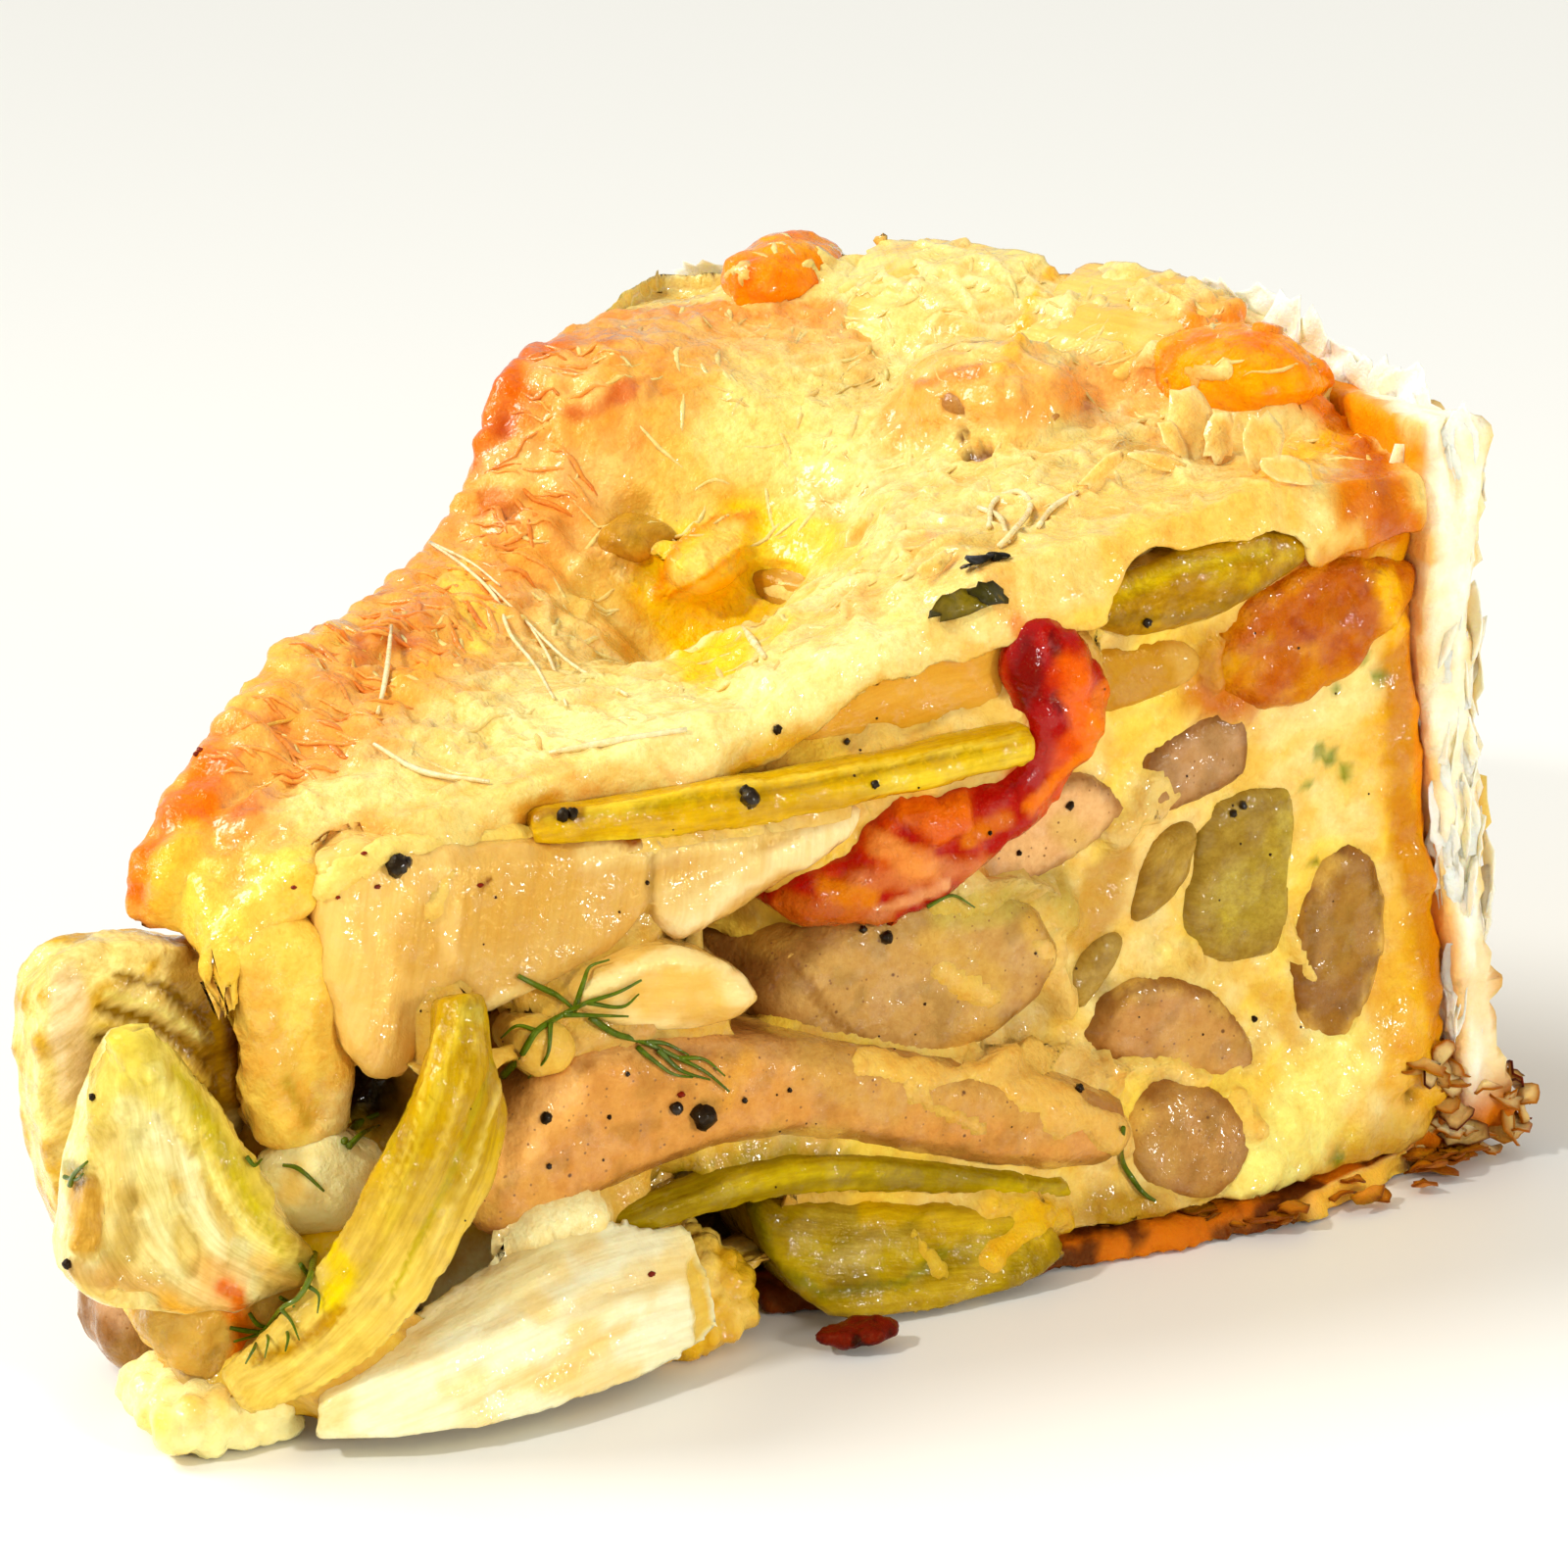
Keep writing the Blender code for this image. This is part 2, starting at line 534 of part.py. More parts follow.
def make_layers():
    """Curved fennel layers, at the foot in front and standing at the back of the top."""
    return [
        layer("fennel_layer_lower", "fennel_pale",
              [on_cut(8.2, 1.6, 14.4), on_cut(15.5, 1.6, 17.4), on_cut(25, 1.6, 17.0), on_cut(34, 1.6, 14.6),
               on_cut(42.0, 3.2, 11.6)],
              [on_cut(9.4, 4.0, 12.8), on_cut(18.6, 8.0, 11.2), on_cut(28.0, 11.8, 9.6), on_cut(35.6, 11.8, 9.2),
               on_cut(40.6, 10.0, 8.8)],
              2.5, OUT * 1.4 + UP * 0.8),
        layer("fennel_back_left", "fennel_pale",
              [on_disc(102, 11.4, 64.5), on_disc(100, 6.0, 63), on_disc(100, 1.5, 63)],
              [on_disc(115.0, 11.8, 70.2), on_disc(115.5, 7.0, 70.8), on_disc(114, 2.6, 71.0)],
              2.2, Vector((-1.6, 0.0, 1.2)), cuts=(6, 4)),
        layer("fennel_back_right", "fennel_pale",
              [on_disc(103, 0.4, 65.0), on_disc(101.5, -4.5, 64.0), on_disc(103, -7.4, 65.0)],
              [on_disc(115.5, 0.8, 70.6), on_disc(116, -4.4, 70.8), on_disc(115.5, -8.2, 69.6)],
              2.0, Vector((-1.4, 0.0, 1.0)), cuts=(6, 4)),
    ]


def make_lumps():
    """Rounded pieces: those lying on top and the egg at the tip."""
    return [
        lump("tomato_top_left", "tomato", on_disc(108.8, 15.4, 68.0), (8.4, 5.2, 3.8), turn=20, seed=2.0),
        lump("tomato_top_right", "tomato", on_disc(109, -11.4, 66.2), (6.6, 8.6, 4.0), turn=-10, seed=3.0),
        lump("sausage_top", "sausage", on_disc(95, -2.4, 63.6), (7.0, 10.0, 4.2), turn=-14, tilt=-12, seed=4.0),
        lump("onion_slice", "fennel_pale", on_disc(73.4, 6.8, 51.0), (7.4, 3.4, 2.0), turn=30, seed=5.0),
        lump("fennel_speck", "fennel_green", on_disc(71.4, 11.6, 52.6), (4.2, 3.4, 1.6), turn=30, seed=6.0),
        lump("egg_white", "egg", on_cut(12.6, 17.8, 4.4), (4.7, 3.4, 3.7), turn=-20, seed=7.0),
        lump("crust_flake", "pastry", on_cut(53.6, 1.3, 14.0), (3.4, 2.0, 0.9), turn=-30, seed=8.0),
    ]


# Fitting the pieces together

def swollen(source):
    """A copy of a piece grown by the clearance on every side, for cutting its neighbours."""
    shape = bmesh.new()
    shape.from_mesh(source.data)
    shape.normal_update()
    moves = [vert.normal * min(vert.calc_shell_factor(), 2.0) * (GAP + 0.04) * MM for vert in shape.verts]
    for vert, move in zip(shape.verts, moves):
        vert.co += move
    mesh = bpy.data.meshes.new(source.name + "_cutter")
    shape.to_mesh(mesh)
    shape.free()
    cutter = bpy.data.objects.new(source.name + "_cutter", mesh)
    CUTTERS.objects.link(cutter)
    cutter.hide_render = True
    cutter.display_type = "WIRE"
    return cutter


def tree(source):
    shape = bmesh.new()
    shape.from_mesh(source.data)
    made = BVHTree.FromBMesh(shape)
    shape.free()
    return made


def tidy_cut(mesh):
    """Keep only the largest connected body of a cut mesh, with its flat faces joined up again."""
    shape = bmesh.new()
    shape.from_mesh(mesh)
    shape.verts.ensure_lookup_table()
    unseen = set(shape.verts)
    bodies = []
    while unseen:
        front = [unseen.pop()]
        body = set(front)
        while front:
            for edge in front.pop().link_edges:
                for vert in edge.verts:
                    if vert in unseen:
                        unseen.discard(vert)
                        body.add(vert)
                        front.append(vert)
        bodies.append(body)
    bodies.sort(key=len)
    for body in bodies[:-1]:
        bmesh.ops.delete(shape, geom=list(body), context="VERTS")
    bmesh.ops.dissolve_limit(shape, angle_limit=FLAT_ANGLE, verts=shape.verts, edges=shape.edges)
    shape.to_mesh(mesh)
    shape.free()


def trim(target, cutter):
    """Cut one piece's clearance out of another."""
    cut = target.modifiers.new("clearance", "BOOLEAN")
    cut.operation = "DIFFERENCE"
    cut.solver = "EXACT"
    cut.object = cutter
    mesh = evaluated_mesh(target)
    target.modifiers.remove(cut)
    old = target.data
    target.data = mesh
    bpy.data.meshes.remove(old)
    tidy_cut(target.data)
    triangulated(target.data)


def beyond_back_cut():
    """A cutter for everything behind the back cut, which lies at twice the half angle."""
    bpy.ops.mesh.primitive_cube_add(size=1.0)
    cutter = bpy.context.object
    cutter.name = "beyond_back_cutter"
    length = 2.0 * FILLING_RADIUS
    for collection in list(cutter.users_collection):
        collection.objects.unlink(cutter)
    CUTTERS.objects.link(cutter)
    place = Matrix.Rotation(HALF, 4, "Z") @ Matrix.Translation((0.0, (0.5 * length + BACK_PROUD) * MM, 0.0))
    cutter.data.transform(Matrix.Diagonal((length * MM, length * MM, length * MM, 1.0)))
    cutter.data.transform(Matrix.Translation(TIP * MM) @ place)
    cutter.hide_render = True
    cutter.display_type = "WIRE"
    return cutter


def give_way(target, cutters):
    """Cut the clearance of other pieces out of one piece, wherever they would touch."""
    for cutter in cutters:
        if tree(cutter).overlap(tree(target)):
            trim(target, cutter)


def clear_scene():
    for item in list(bpy.data.objects):
        bpy.data.objects.remove(item)
    for item in list(bpy.data.collections):
        bpy.data.collections.remove(item)


def make_rounds():
    pieces = []
    for name, size in ROUND_PIECES.items():
        slot = "fennel_pale" if name.startswith("fennel") else "sausage"
        outline = oval(size["centre"], size["half"], size["tilt"])
        pieces.append(slab(name, slot, outline, size["near"], size["far"], size["edge"], size.get("lean", 0.0),
                           skew=size.get("skew", (0.0, 0.0))))
    return pieces


def make_cut_pieces():
    pieces = []
    for name, size in CUT_PIECES.items():
        outline = rounded(size["outline"], 2)
        pieces.append(slab(name, size["slot"], outline, size["near"], size["far"], size["edge"],
                           size.get("lean", 0.0), size.get("turn", 0.0), size.get("skew", (0.0, 0.0))))
    return pieces


clear_scene()
QUICHE = bpy.data.collections.new("sausage_quiche_slice")
CUTTERS = bpy.data.collections.new("cutters")
bpy.context.scene.collection.children.link(QUICHE)
bpy.context.scene.collection.children.link(CUTTERS)

case = block("pastry_case", "pastry", (11, 16, 1), case_place)
fillings = make_rounds() + make_stalks() + make_layers() + make_lumps() + make_cut_pieces()
custard = block("custard", "custard", (10, 5, 4), custard_place)
cheese = block("melted_cheese", "cheese", (17, 8, 1), cheese_place)
pieces = [case] + fillings
cutters = [swollen(piece) for piece in pieces]
back = beyond_back_cut()
give_way(custard, [swollen(cheese)] + cutters)
give_way(cheese, cutters)
for index, piece in enumerate(pieces):
    size = ROUND_PIECES.get(piece.name) or CUT_PIECES.get(piece.name) or {}
    runs_through = size.get("far") == THROUGH
    give_way(piece, cutters[:index] + ([back] if runs_through else []))
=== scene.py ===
# Slice of sausage quiche: the finished look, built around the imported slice
import math
import random

import bpy
import numpy as np
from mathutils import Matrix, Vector
from mathutils.bvhtree import BVHTree


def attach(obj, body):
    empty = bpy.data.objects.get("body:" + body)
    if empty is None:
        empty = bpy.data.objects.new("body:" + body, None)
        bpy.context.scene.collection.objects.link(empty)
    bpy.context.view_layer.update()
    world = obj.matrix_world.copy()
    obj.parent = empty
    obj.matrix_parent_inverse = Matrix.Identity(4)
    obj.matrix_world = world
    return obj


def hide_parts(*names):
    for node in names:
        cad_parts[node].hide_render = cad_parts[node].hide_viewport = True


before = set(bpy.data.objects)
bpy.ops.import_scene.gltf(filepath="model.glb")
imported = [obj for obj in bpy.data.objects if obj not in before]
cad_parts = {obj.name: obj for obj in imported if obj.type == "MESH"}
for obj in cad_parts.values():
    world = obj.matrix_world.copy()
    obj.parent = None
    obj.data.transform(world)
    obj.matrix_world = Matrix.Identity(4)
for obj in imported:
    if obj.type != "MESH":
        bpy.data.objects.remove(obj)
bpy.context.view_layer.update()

mm = 0.001
scene = bpy.context.scene
tip = np.array([-56.3, 0.0, 0.0])               # where the two cuts meet, mm
halfTurn = 22.8                                 # degrees from the middle of the slice to either cut
halfAngle = math.radians(halfTurn)
alongCut = np.array([math.cos(halfAngle), -math.sin(halfAngle), 0.0])
outOfCut = np.array([-math.sin(halfAngle), -math.cos(halfAngle), 0.0])
outOfBack = np.array([-math.sin(halfAngle), math.cos(halfAngle), 0.0])
up = np.array([0.0, 0.0, 1.0])
brushEye = np.array([-282.0, -268.7, 159.5])    # strokes on the front are aimed from here, mm
made = []


# places on the slice, all in mm
def onCut(along, height, out=0.0):
    return tip + alongCut * along + up * height + outOfCut * out


def crustLean(height, share):
    # the wall leans in at its top, most of all at the front cut (share 0)
    return 6.4 * ramp(5.0, 60.0, height) * (1.0 - 0.8 * ramp(0.0, 0.3, share))


def onTop(radius, degrees, height):
    turn = math.radians(degrees)
    return tip + np.array([radius * math.cos(turn), radius * math.sin(turn), height])


def cutPlace(places):
    rel = places - tip
    return rel @ alongCut, rel[:, 2], rel @ outOfCut


def discPlace(places):
    rel = places - tip
    return np.hypot(rel[:, 0], rel[:, 1]), np.degrees(np.arctan2(rel[:, 1], rel[:, 0]))


def crustPlace(places):
    # distance from the tip as if the wall stood upright: 117.6 at the pastry
    radius, degrees = discPlace(places)
    return radius + crustLean(places[:, 2], (degrees + halfTurn) / (2 * halfTurn)) * ramp(85.0, 110.0, radius)


def brushPlace(places):
    # where each point shows on the front cut, seen from the brush's eye
    t = ((tip - brushEye) @ outOfCut) / ((places - brushEye) @ outOfCut)
    hit = brushEye + (places - brushEye) * t[:, None]
    return (hit - tip) @ alongCut, hit[:, 2]


def ramp(low, high, values):
    t = np.clip((values - low) / (high - low), 0.0, 1.0)
    return t * t * (3.0 - 2.0 * t)


def paint(*rgb):
    c = np.array(rgb, float) / 255.0
    return np.where(c <= 0.04045, c / 12.92, ((c + 0.055) / 1.055) ** 2.4)


# uneven surfaces: the same numbers each run
def dice(x, y, z, seed):
    h = (x * 374761393 + y * 668265263 + z * 1440662683 + seed * 1274126177) & 0xFFFFFFFF
    h = ((h ^ (h >> 13)) * 1274126177) & 0xFFFFFFFF
    h = ((h ^ (h >> 15)) * 668265263) & 0xFFFFFFFF
    return ((h >> 8) & 0xFFFF) / 65535.0


def swells(places, size, seed=1):
    place = places / size
    corner = np.floor(place).astype(np.int64)
    t = place - corner
    t = t * t * (3.0 - 2.0 * t)
    total = np.zeros(len(places))
    for dx in (0, 1):
        for dy in (0, 1):
            for dz in (0, 1):
                share = (np.abs(1 - dx - t[:, 0]) * np.abs(1 - dy - t[:, 1]) * np.abs(1 - dz - t[:, 2]))
                total += share * dice(corner[:, 0] + dx, corner[:, 1] + dy, corner[:, 2] + dz, seed)
    return total * 2.0 - 1.0


def unevenness(places, size, seed=1, layers=3):
    return sum(swells(places, size / 2.0 ** k, seed + 7 * k) / 2.0 ** k for k in range(layers))


def pebbles(places, size, seed=1):
    # 1 at the middle of each lump, 0 halfway to the next
    place = places / size
    corner = np.floor(place).astype(np.int64)
    near = np.full(len(places), 9.0)
    for dx in (-1, 0, 1):
        for dy in (-1, 0, 1):
            for dz in (-1, 0, 1):
                x, y, z = corner[:, 0] + dx, corner[:, 1] + dy, corner[:, 2] + dz
                gap = ((x + dice(x, y, z, seed) - place[:, 0]) ** 2 +
                       (y + dice(x, y, z, seed + 1) - place[:, 1]) ** 2 +
                       (z + dice(x, y, z, seed + 2) - place[:, 2]) ** 2)
                near = np.minimum(near, gap)
    return 1.0 - np.sqrt(near)


# meshes
def pointsOf(piece):
    co = np.empty(len(piece.data.vertices) * 3)
    piece.data.vertices.foreach_get("co", co)
    return co.reshape(-1, 3) / mm


def normalsOf(piece):
    no = np.empty(len(piece.data.vertices) * 3, np.float32)
    piece.data.vertex_normals.foreach_get("vector", no)
    return no.reshape(-1, 3).astype(float)


def movePoints(piece, places):
    places = places.copy()
    places[:, 2] = np.maximum(places[:, 2], 0.02)          # nothing goes below the resting face
    piece.data.vertices.foreach_set("co", (places * mm).ravel())
    piece.data.update()


def applied(piece):
    # bakes the modifiers into the mesh
    graph = bpy.context.evaluated_depsgraph_get()
    old = piece.data
    piece.data = bpy.data.meshes.new_from_object(piece.evaluated_get(graph))
    piece.modifiers.clear()
    bpy.data.meshes.remove(old)
    piece.data.name = piece.name
    piece.data.polygons.foreach_set("use_smooth", [True] * len(piece.data.polygons))
    return piece


def packedSolids(nodes, unit=1.0):
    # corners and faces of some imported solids, taken together
    corners, sides = [], []
    for node in nodes:
        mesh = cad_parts[node].data
        first = len(corners)
        corners += [tuple(c / unit for c in vert.co) for vert in mesh.vertices]
        sides += [[first + index for index in side.vertices] for side in mesh.polygons]
    return corners, sides


def joined(name, nodes):
    corners, sides = packedSolids(nodes)
    mesh = bpy.data.meshes.new(name)
    mesh.from_pydata(corners, [], sides)
    piece = bpy.data.objects.new(name, mesh)
    scene.collection.objects.link(piece)
    return piece


def denseCopy(name, nodes, grid, soften, closing=0.0, draw=0.0):
    # closing fills the cracks narrower than twice its size; draw then pulls the skin in
    piece = joined(name, nodes)
    weld = piece.modifiers.new("weld", "WELD")
    weld.merge_threshold = 0.00001

    def evenGrid():
        even = piece.modifiers.new("even grid", "REMESH")
        even.mode = "VOXEL"
        even.voxel_size = grid * mm
        even.use_smooth_shade = True

    def swell(amount):
        puff = piece.modifiers.new("swell", "DISPLACE")
        puff.mid_level = 0.0
        puff.strength = amount * mm

    def soft(passes):
        soft = piece.modifiers.new("soft", "SMOOTH")
        soft.factor = 0.5
        soft.iterations = passes

    evenGrid()
    if closing:
        soft(2)
        swell(closing)
        evenGrid()
        soft(3)
        swell(-closing - draw)
    soft(soften)
    return applied(piece)


def neighbours(piece):
    ends = np.empty(len(piece.data.edges) * 2, np.int64)
    piece.data.edges.foreach_get("vertices", ends)
    return ends.reshape(-1, 2)


def blurred(values, ends, passes):
    count = len(values)
    meets = np.bincount(ends.ravel(), minlength=count) + 1.0
    for _ in range(passes):
        total = values.copy()
        total += np.bincount(ends[:, 0], values[ends[:, 1]], count)
        total += np.bincount(ends[:, 1], values[ends[:, 0]], count)
        values = total / meets
    return values


def colourIn(piece, colours, wet=0.5):
    count = len(piece.data.vertices)
    rgba = np.ones((count, 4))
    rgba[:, :3] = np.clip(colours - np.array([0.006, 0.010, 0.022]), 0.001, 1.0)   # the gloss adds this back
    tint = piece.data.color_attributes.new("tint", "FLOAT_COLOR", "POINT")
    tint.data.foreach_set("color", rgba.ravel())
    sheen = piece.data.attributes.new("wet", "FLOAT", "POINT")
    sheen.data.foreach_set("value", np.clip(np.broadcast_to(wet, (count,)), 0.0, 1.0).astype(np.float32))


def blendIn(colours, colour, amount):
    amount = np.clip(amount, 0.0, 1.0)[:, None]
    return colours * (1.0 - amount) + colour * amount


def reach(u, v, line):
    # distance from each point to a line drawn on the cut
    near = np.full(len(u), 1e9)
    for k in range(max(1, len(line) - 1)):
        ax, ay = line[k]
        bx, by = line[min(k + 1, len(line) - 1)]
        dx, dy = bx - ax, by - ay
        t = np.clip(((u - ax) * dx + (v - ay) * dy) / max(dx * dx + dy * dy, 1e-9), 0.0, 1.0)
        near = np.minimum(near, np.hypot(u - ax - t * dx, v - ay - t * dy))
    return near


def strokeOver(places, facing, strokes, ragged=0.35):
    # returns for each stroke how strongly it covers each point
    u, v = brushPlace(places)
    toEye = brushEye - places
    toEye /= np.linalg.norm(toEye, axis=1)[:, None]
    seen = ramp(0.0, 0.25, np.einsum("ij,ij->i", facing, toEye))
    wobble = unevenness(places, 2.4, 501) * ragged
    covers = []
    for line, width, _, strength, _ in strokes:
        gap = reach(u, v, line) / width + wobble * min(1.0, 1.5 / width + 0.4)
        covers.append(seen * ramp(1.0, 0.35, gap) * strength)
    return covers


def touchUp(places, facing, colours, strokes):
    lift = np.zeros(len(places))
    for stroke, cover in zip(strokes, strokeOver(places, facing, strokes)):
        colours = blendIn(colours, paint(*stroke[2]), cover)
        lift += stroke[4] * cover
    return colours, lift


def lyingOver(places, facing, nodes, depth=2.4):
    # 1 where a skin lies just over one of these pieces
    tree = BVHTree.FromPolygons(*packedSolids(nodes, mm))
    starts, ways = places + 0.7 * facing, -facing
    found = np.zeros(len(places))
    for k in range(len(places)):
        if tree.ray_cast(Vector(starts[k]), Vector(ways[k]), depth)[0] is not None:
            found[k] = 1.0
    return found


def handOver(piece, slot, finish, *nodes):
    piece.data.materials.append(finish)
    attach(piece, "root")
    if nodes:
        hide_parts(*nodes)
    made.append(piece)
    return piece


# finishes
def foodFinish(name, look):
    finish = bpy.data.materials.new(name)
    finish.use_nodes = True
    nodes = finish.node_tree.nodes
    links = finish.node_tree.links
    shader = nodes["Principled BSDF"]
    place = nodes.new("ShaderNodeTexCoord").outputs["Object"]
    tint = nodes.new("ShaderNodeAttribute")
    tint.attribute_name = "tint"
    wet = nodes.new("ShaderNodeAttribute")
    wet.attribute_name = "wet"

    def noiseOf(size, detail, rough, source=place):
        texture = nodes.new("ShaderNodeTexNoise")
        texture.inputs["Scale"].default_value = 1.0 / (size * mm)
        texture.inputs["Detail"].default_value = detail
        texture.inputs["Roughness"].default_value = rough
        links.new(source, texture.inputs["Vector"])
        return texture.outputs["Fac"]

    def ranged(source, low, high, start, end):
        step = nodes.new("ShaderNodeMapRange")
        step.inputs["From Min"].default_value = low
        step.inputs["From Max"].default_value = high
        step.inputs["To Min"].default_value = start
        step.inputs["To Max"].default_value = end
        links.new(source, step.inputs["Value"])
        return step.outputs["Result"]

    def mixed(kind, amount, first, second):
        step = nodes.new("ShaderNodeMix")
        step.data_type = "RGBA"
        step.blend_type = kind
        links.new(amount, step.inputs[0])
        links.new(first, step.inputs[6])
        step.inputs[7].default_value = (*paint(*second), 1.0)
        return step.outputs[2]

    colour = tint.outputs["Color"]
    for size, amount, shade in look.get("mottle", []):       # soft darker clouds
        colour = mixed("MULTIPLY", ranged(noiseOf(size, 4.0, 0.62), 0.42, 0.66, 0.0, amount), colour, shade)
    for size, amount, shade in look.get("fibres", []):       # streaks that follow the piece
        run = nodes.new("ShaderNodeAttribute")
        run.attribute_name = "fibre"
        streak = noiseOf(size / mm, 3.0, 0.6, run.outputs["Vector"])
        colour = mixed("MULTIPLY", ranged(streak, 0.42, 0.64, 0.0, amount), colour, shade)
    for size, share, radius, shade in look.get("specks", []):        # small dark pores or spots
        cells = nodes.new("ShaderNodeTexVoronoi")
        cells.inputs["Scale"].default_value = 1.0 / (size * mm)
        links.new(place, cells.inputs["Vector"])
        dot = ranged(cells.outputs["Distance"], radius, radius * 0.5, 0.0, 1.0)
        some = nodes.new("ShaderNodeMath")
        some.operation = "LESS_THAN"
        some.inputs[1].default_value = share
        links.new(cells.outputs["Color"], some.inputs[0])
        both = nodes.new("ShaderNodeMath")
        both.operation = "MULTIPLY"
        links.new(dot, both.inputs[0])
        links.new(some.outputs[0], both.inputs[1])
        colour = mixed("MIX", both.outputs[0], colour, shade)
    links.new(colour, shader.inputs["Base Color"])

    dull, shiny = look["roughness"]
    links.new(ranged(wet.outputs["Fac"], 0.0, 1.0, dull, shiny), shader.inputs["Roughness"])
    if "coat" in look:                                       # wet spots that glint, each tilted its own way
        film = ranged(noiseOf(3.0, 3.0, 0.6), 0.46, 0.56, look["coat"] * 0.5, 1.0)
        links.new(film, shader.inputs["Coat Weight"])
        glint = nodes.new("ShaderNodeBump")
        glint.inputs["Strength"].default_value = 1.0
        glint.inputs["Distance"].default_value = look.get("glintDepth", 0.6) * mm
        links.new(noiseOf(look.get("glintSize", 1.7), 2.0, 0.5), glint.inputs["Height"])
        links.new(glint.outputs["Normal"], shader.inputs["Coat Normal"])
    shader.inputs["Coat Roughness"].default_value = look.get("coatRoughness", 0.05)
    shader.inputs["Coat IOR"].default_value = look.get("coatIor", 1.4)
    shader.inputs["Specular IOR Level"].default_value = look.get("specular", 0.22)
    shader.inputs["Specular Tint"].default_value = (1.0, 0.74, 0.25, 1.0)
    shader.inputs["Subsurface Weight"].default_value = look.get("glow", 0.0)
    shader.inputs["Subsurface Radius"].default_value = look.get("glowColour", (1.0, 0.55, 0.2))
    shader.inputs["Subsurface Scale"].default_value = look.get("glowDepth", 1.5) * mm

    bent = None
    for size, depth, kind in look["bumps"]:
        bump = nodes.new("ShaderNodeBump")
        bump.inputs["Strength"].default_value = 1.0
        bump.inputs["Distance"].default_value = depth * mm
        if kind == "fibre":
            run = nodes.new("ShaderNodeAttribute")
            run.attribute_name = "fibre"
            source = noiseOf(size / mm, 2.0, 0.5, run.outputs["Vector"])
        else:
            source = noiseOf(size, 3.0, 0.55)
        links.new(source, bump.inputs["Height"])
        if bent is not None:
            links.new(bent, bump.inputs["Normal"])
        bent = bump.outputs["Normal"]
    links.new(bent, shader.inputs["Normal"])
    return finish


def giveFibres(piece, run, across, stretch):
    # run: distance along the fibres; across: the two distances sideways
    place = np.stack([run / stretch, across[0], across[1]], axis=1)
    fibre = piece.data.attributes.new("fibre", "FLOAT_VECTOR", "POINT")
    fibre.data.foreach_set("vector", place.astype(np.float32).ravel())
    return place


def spineOf(places, direction=None, joints=12):
    # how far along the piece each point is, and how far off its middle line
    rel = places - places.mean(axis=0)
    axes = np.linalg.svd(rel.T @ rel)[0].T
    first = axes[0] if direction is None else np.array(direction, float)
    first = first / np.linalg.norm(first)
    second = axes[1] if direction is None else np.cross(first, [0.3, -0.8, 0.5])
    second /= np.linalg.norm(second)
    third = np.cross(first, second)
    run, b, c = rel @ first, rel @ second, rel @ third
    if direction is None:
        bins = np.clip(((run - run.min()) / (np.ptp(run) + 1e-9) * joints).astype(int), 0, joints - 1)
        seen = np.array([k for k in range(joints) if (bins == k).any()])
        at = np.array([run[bins == k].mean() for k in seen])
        b = b - np.interp(run, at, [b[bins == k].mean() for k in seen])
        c = c - np.interp(run, at, [c[bins == k].mean() for k in seen])
    return run, (b, c)


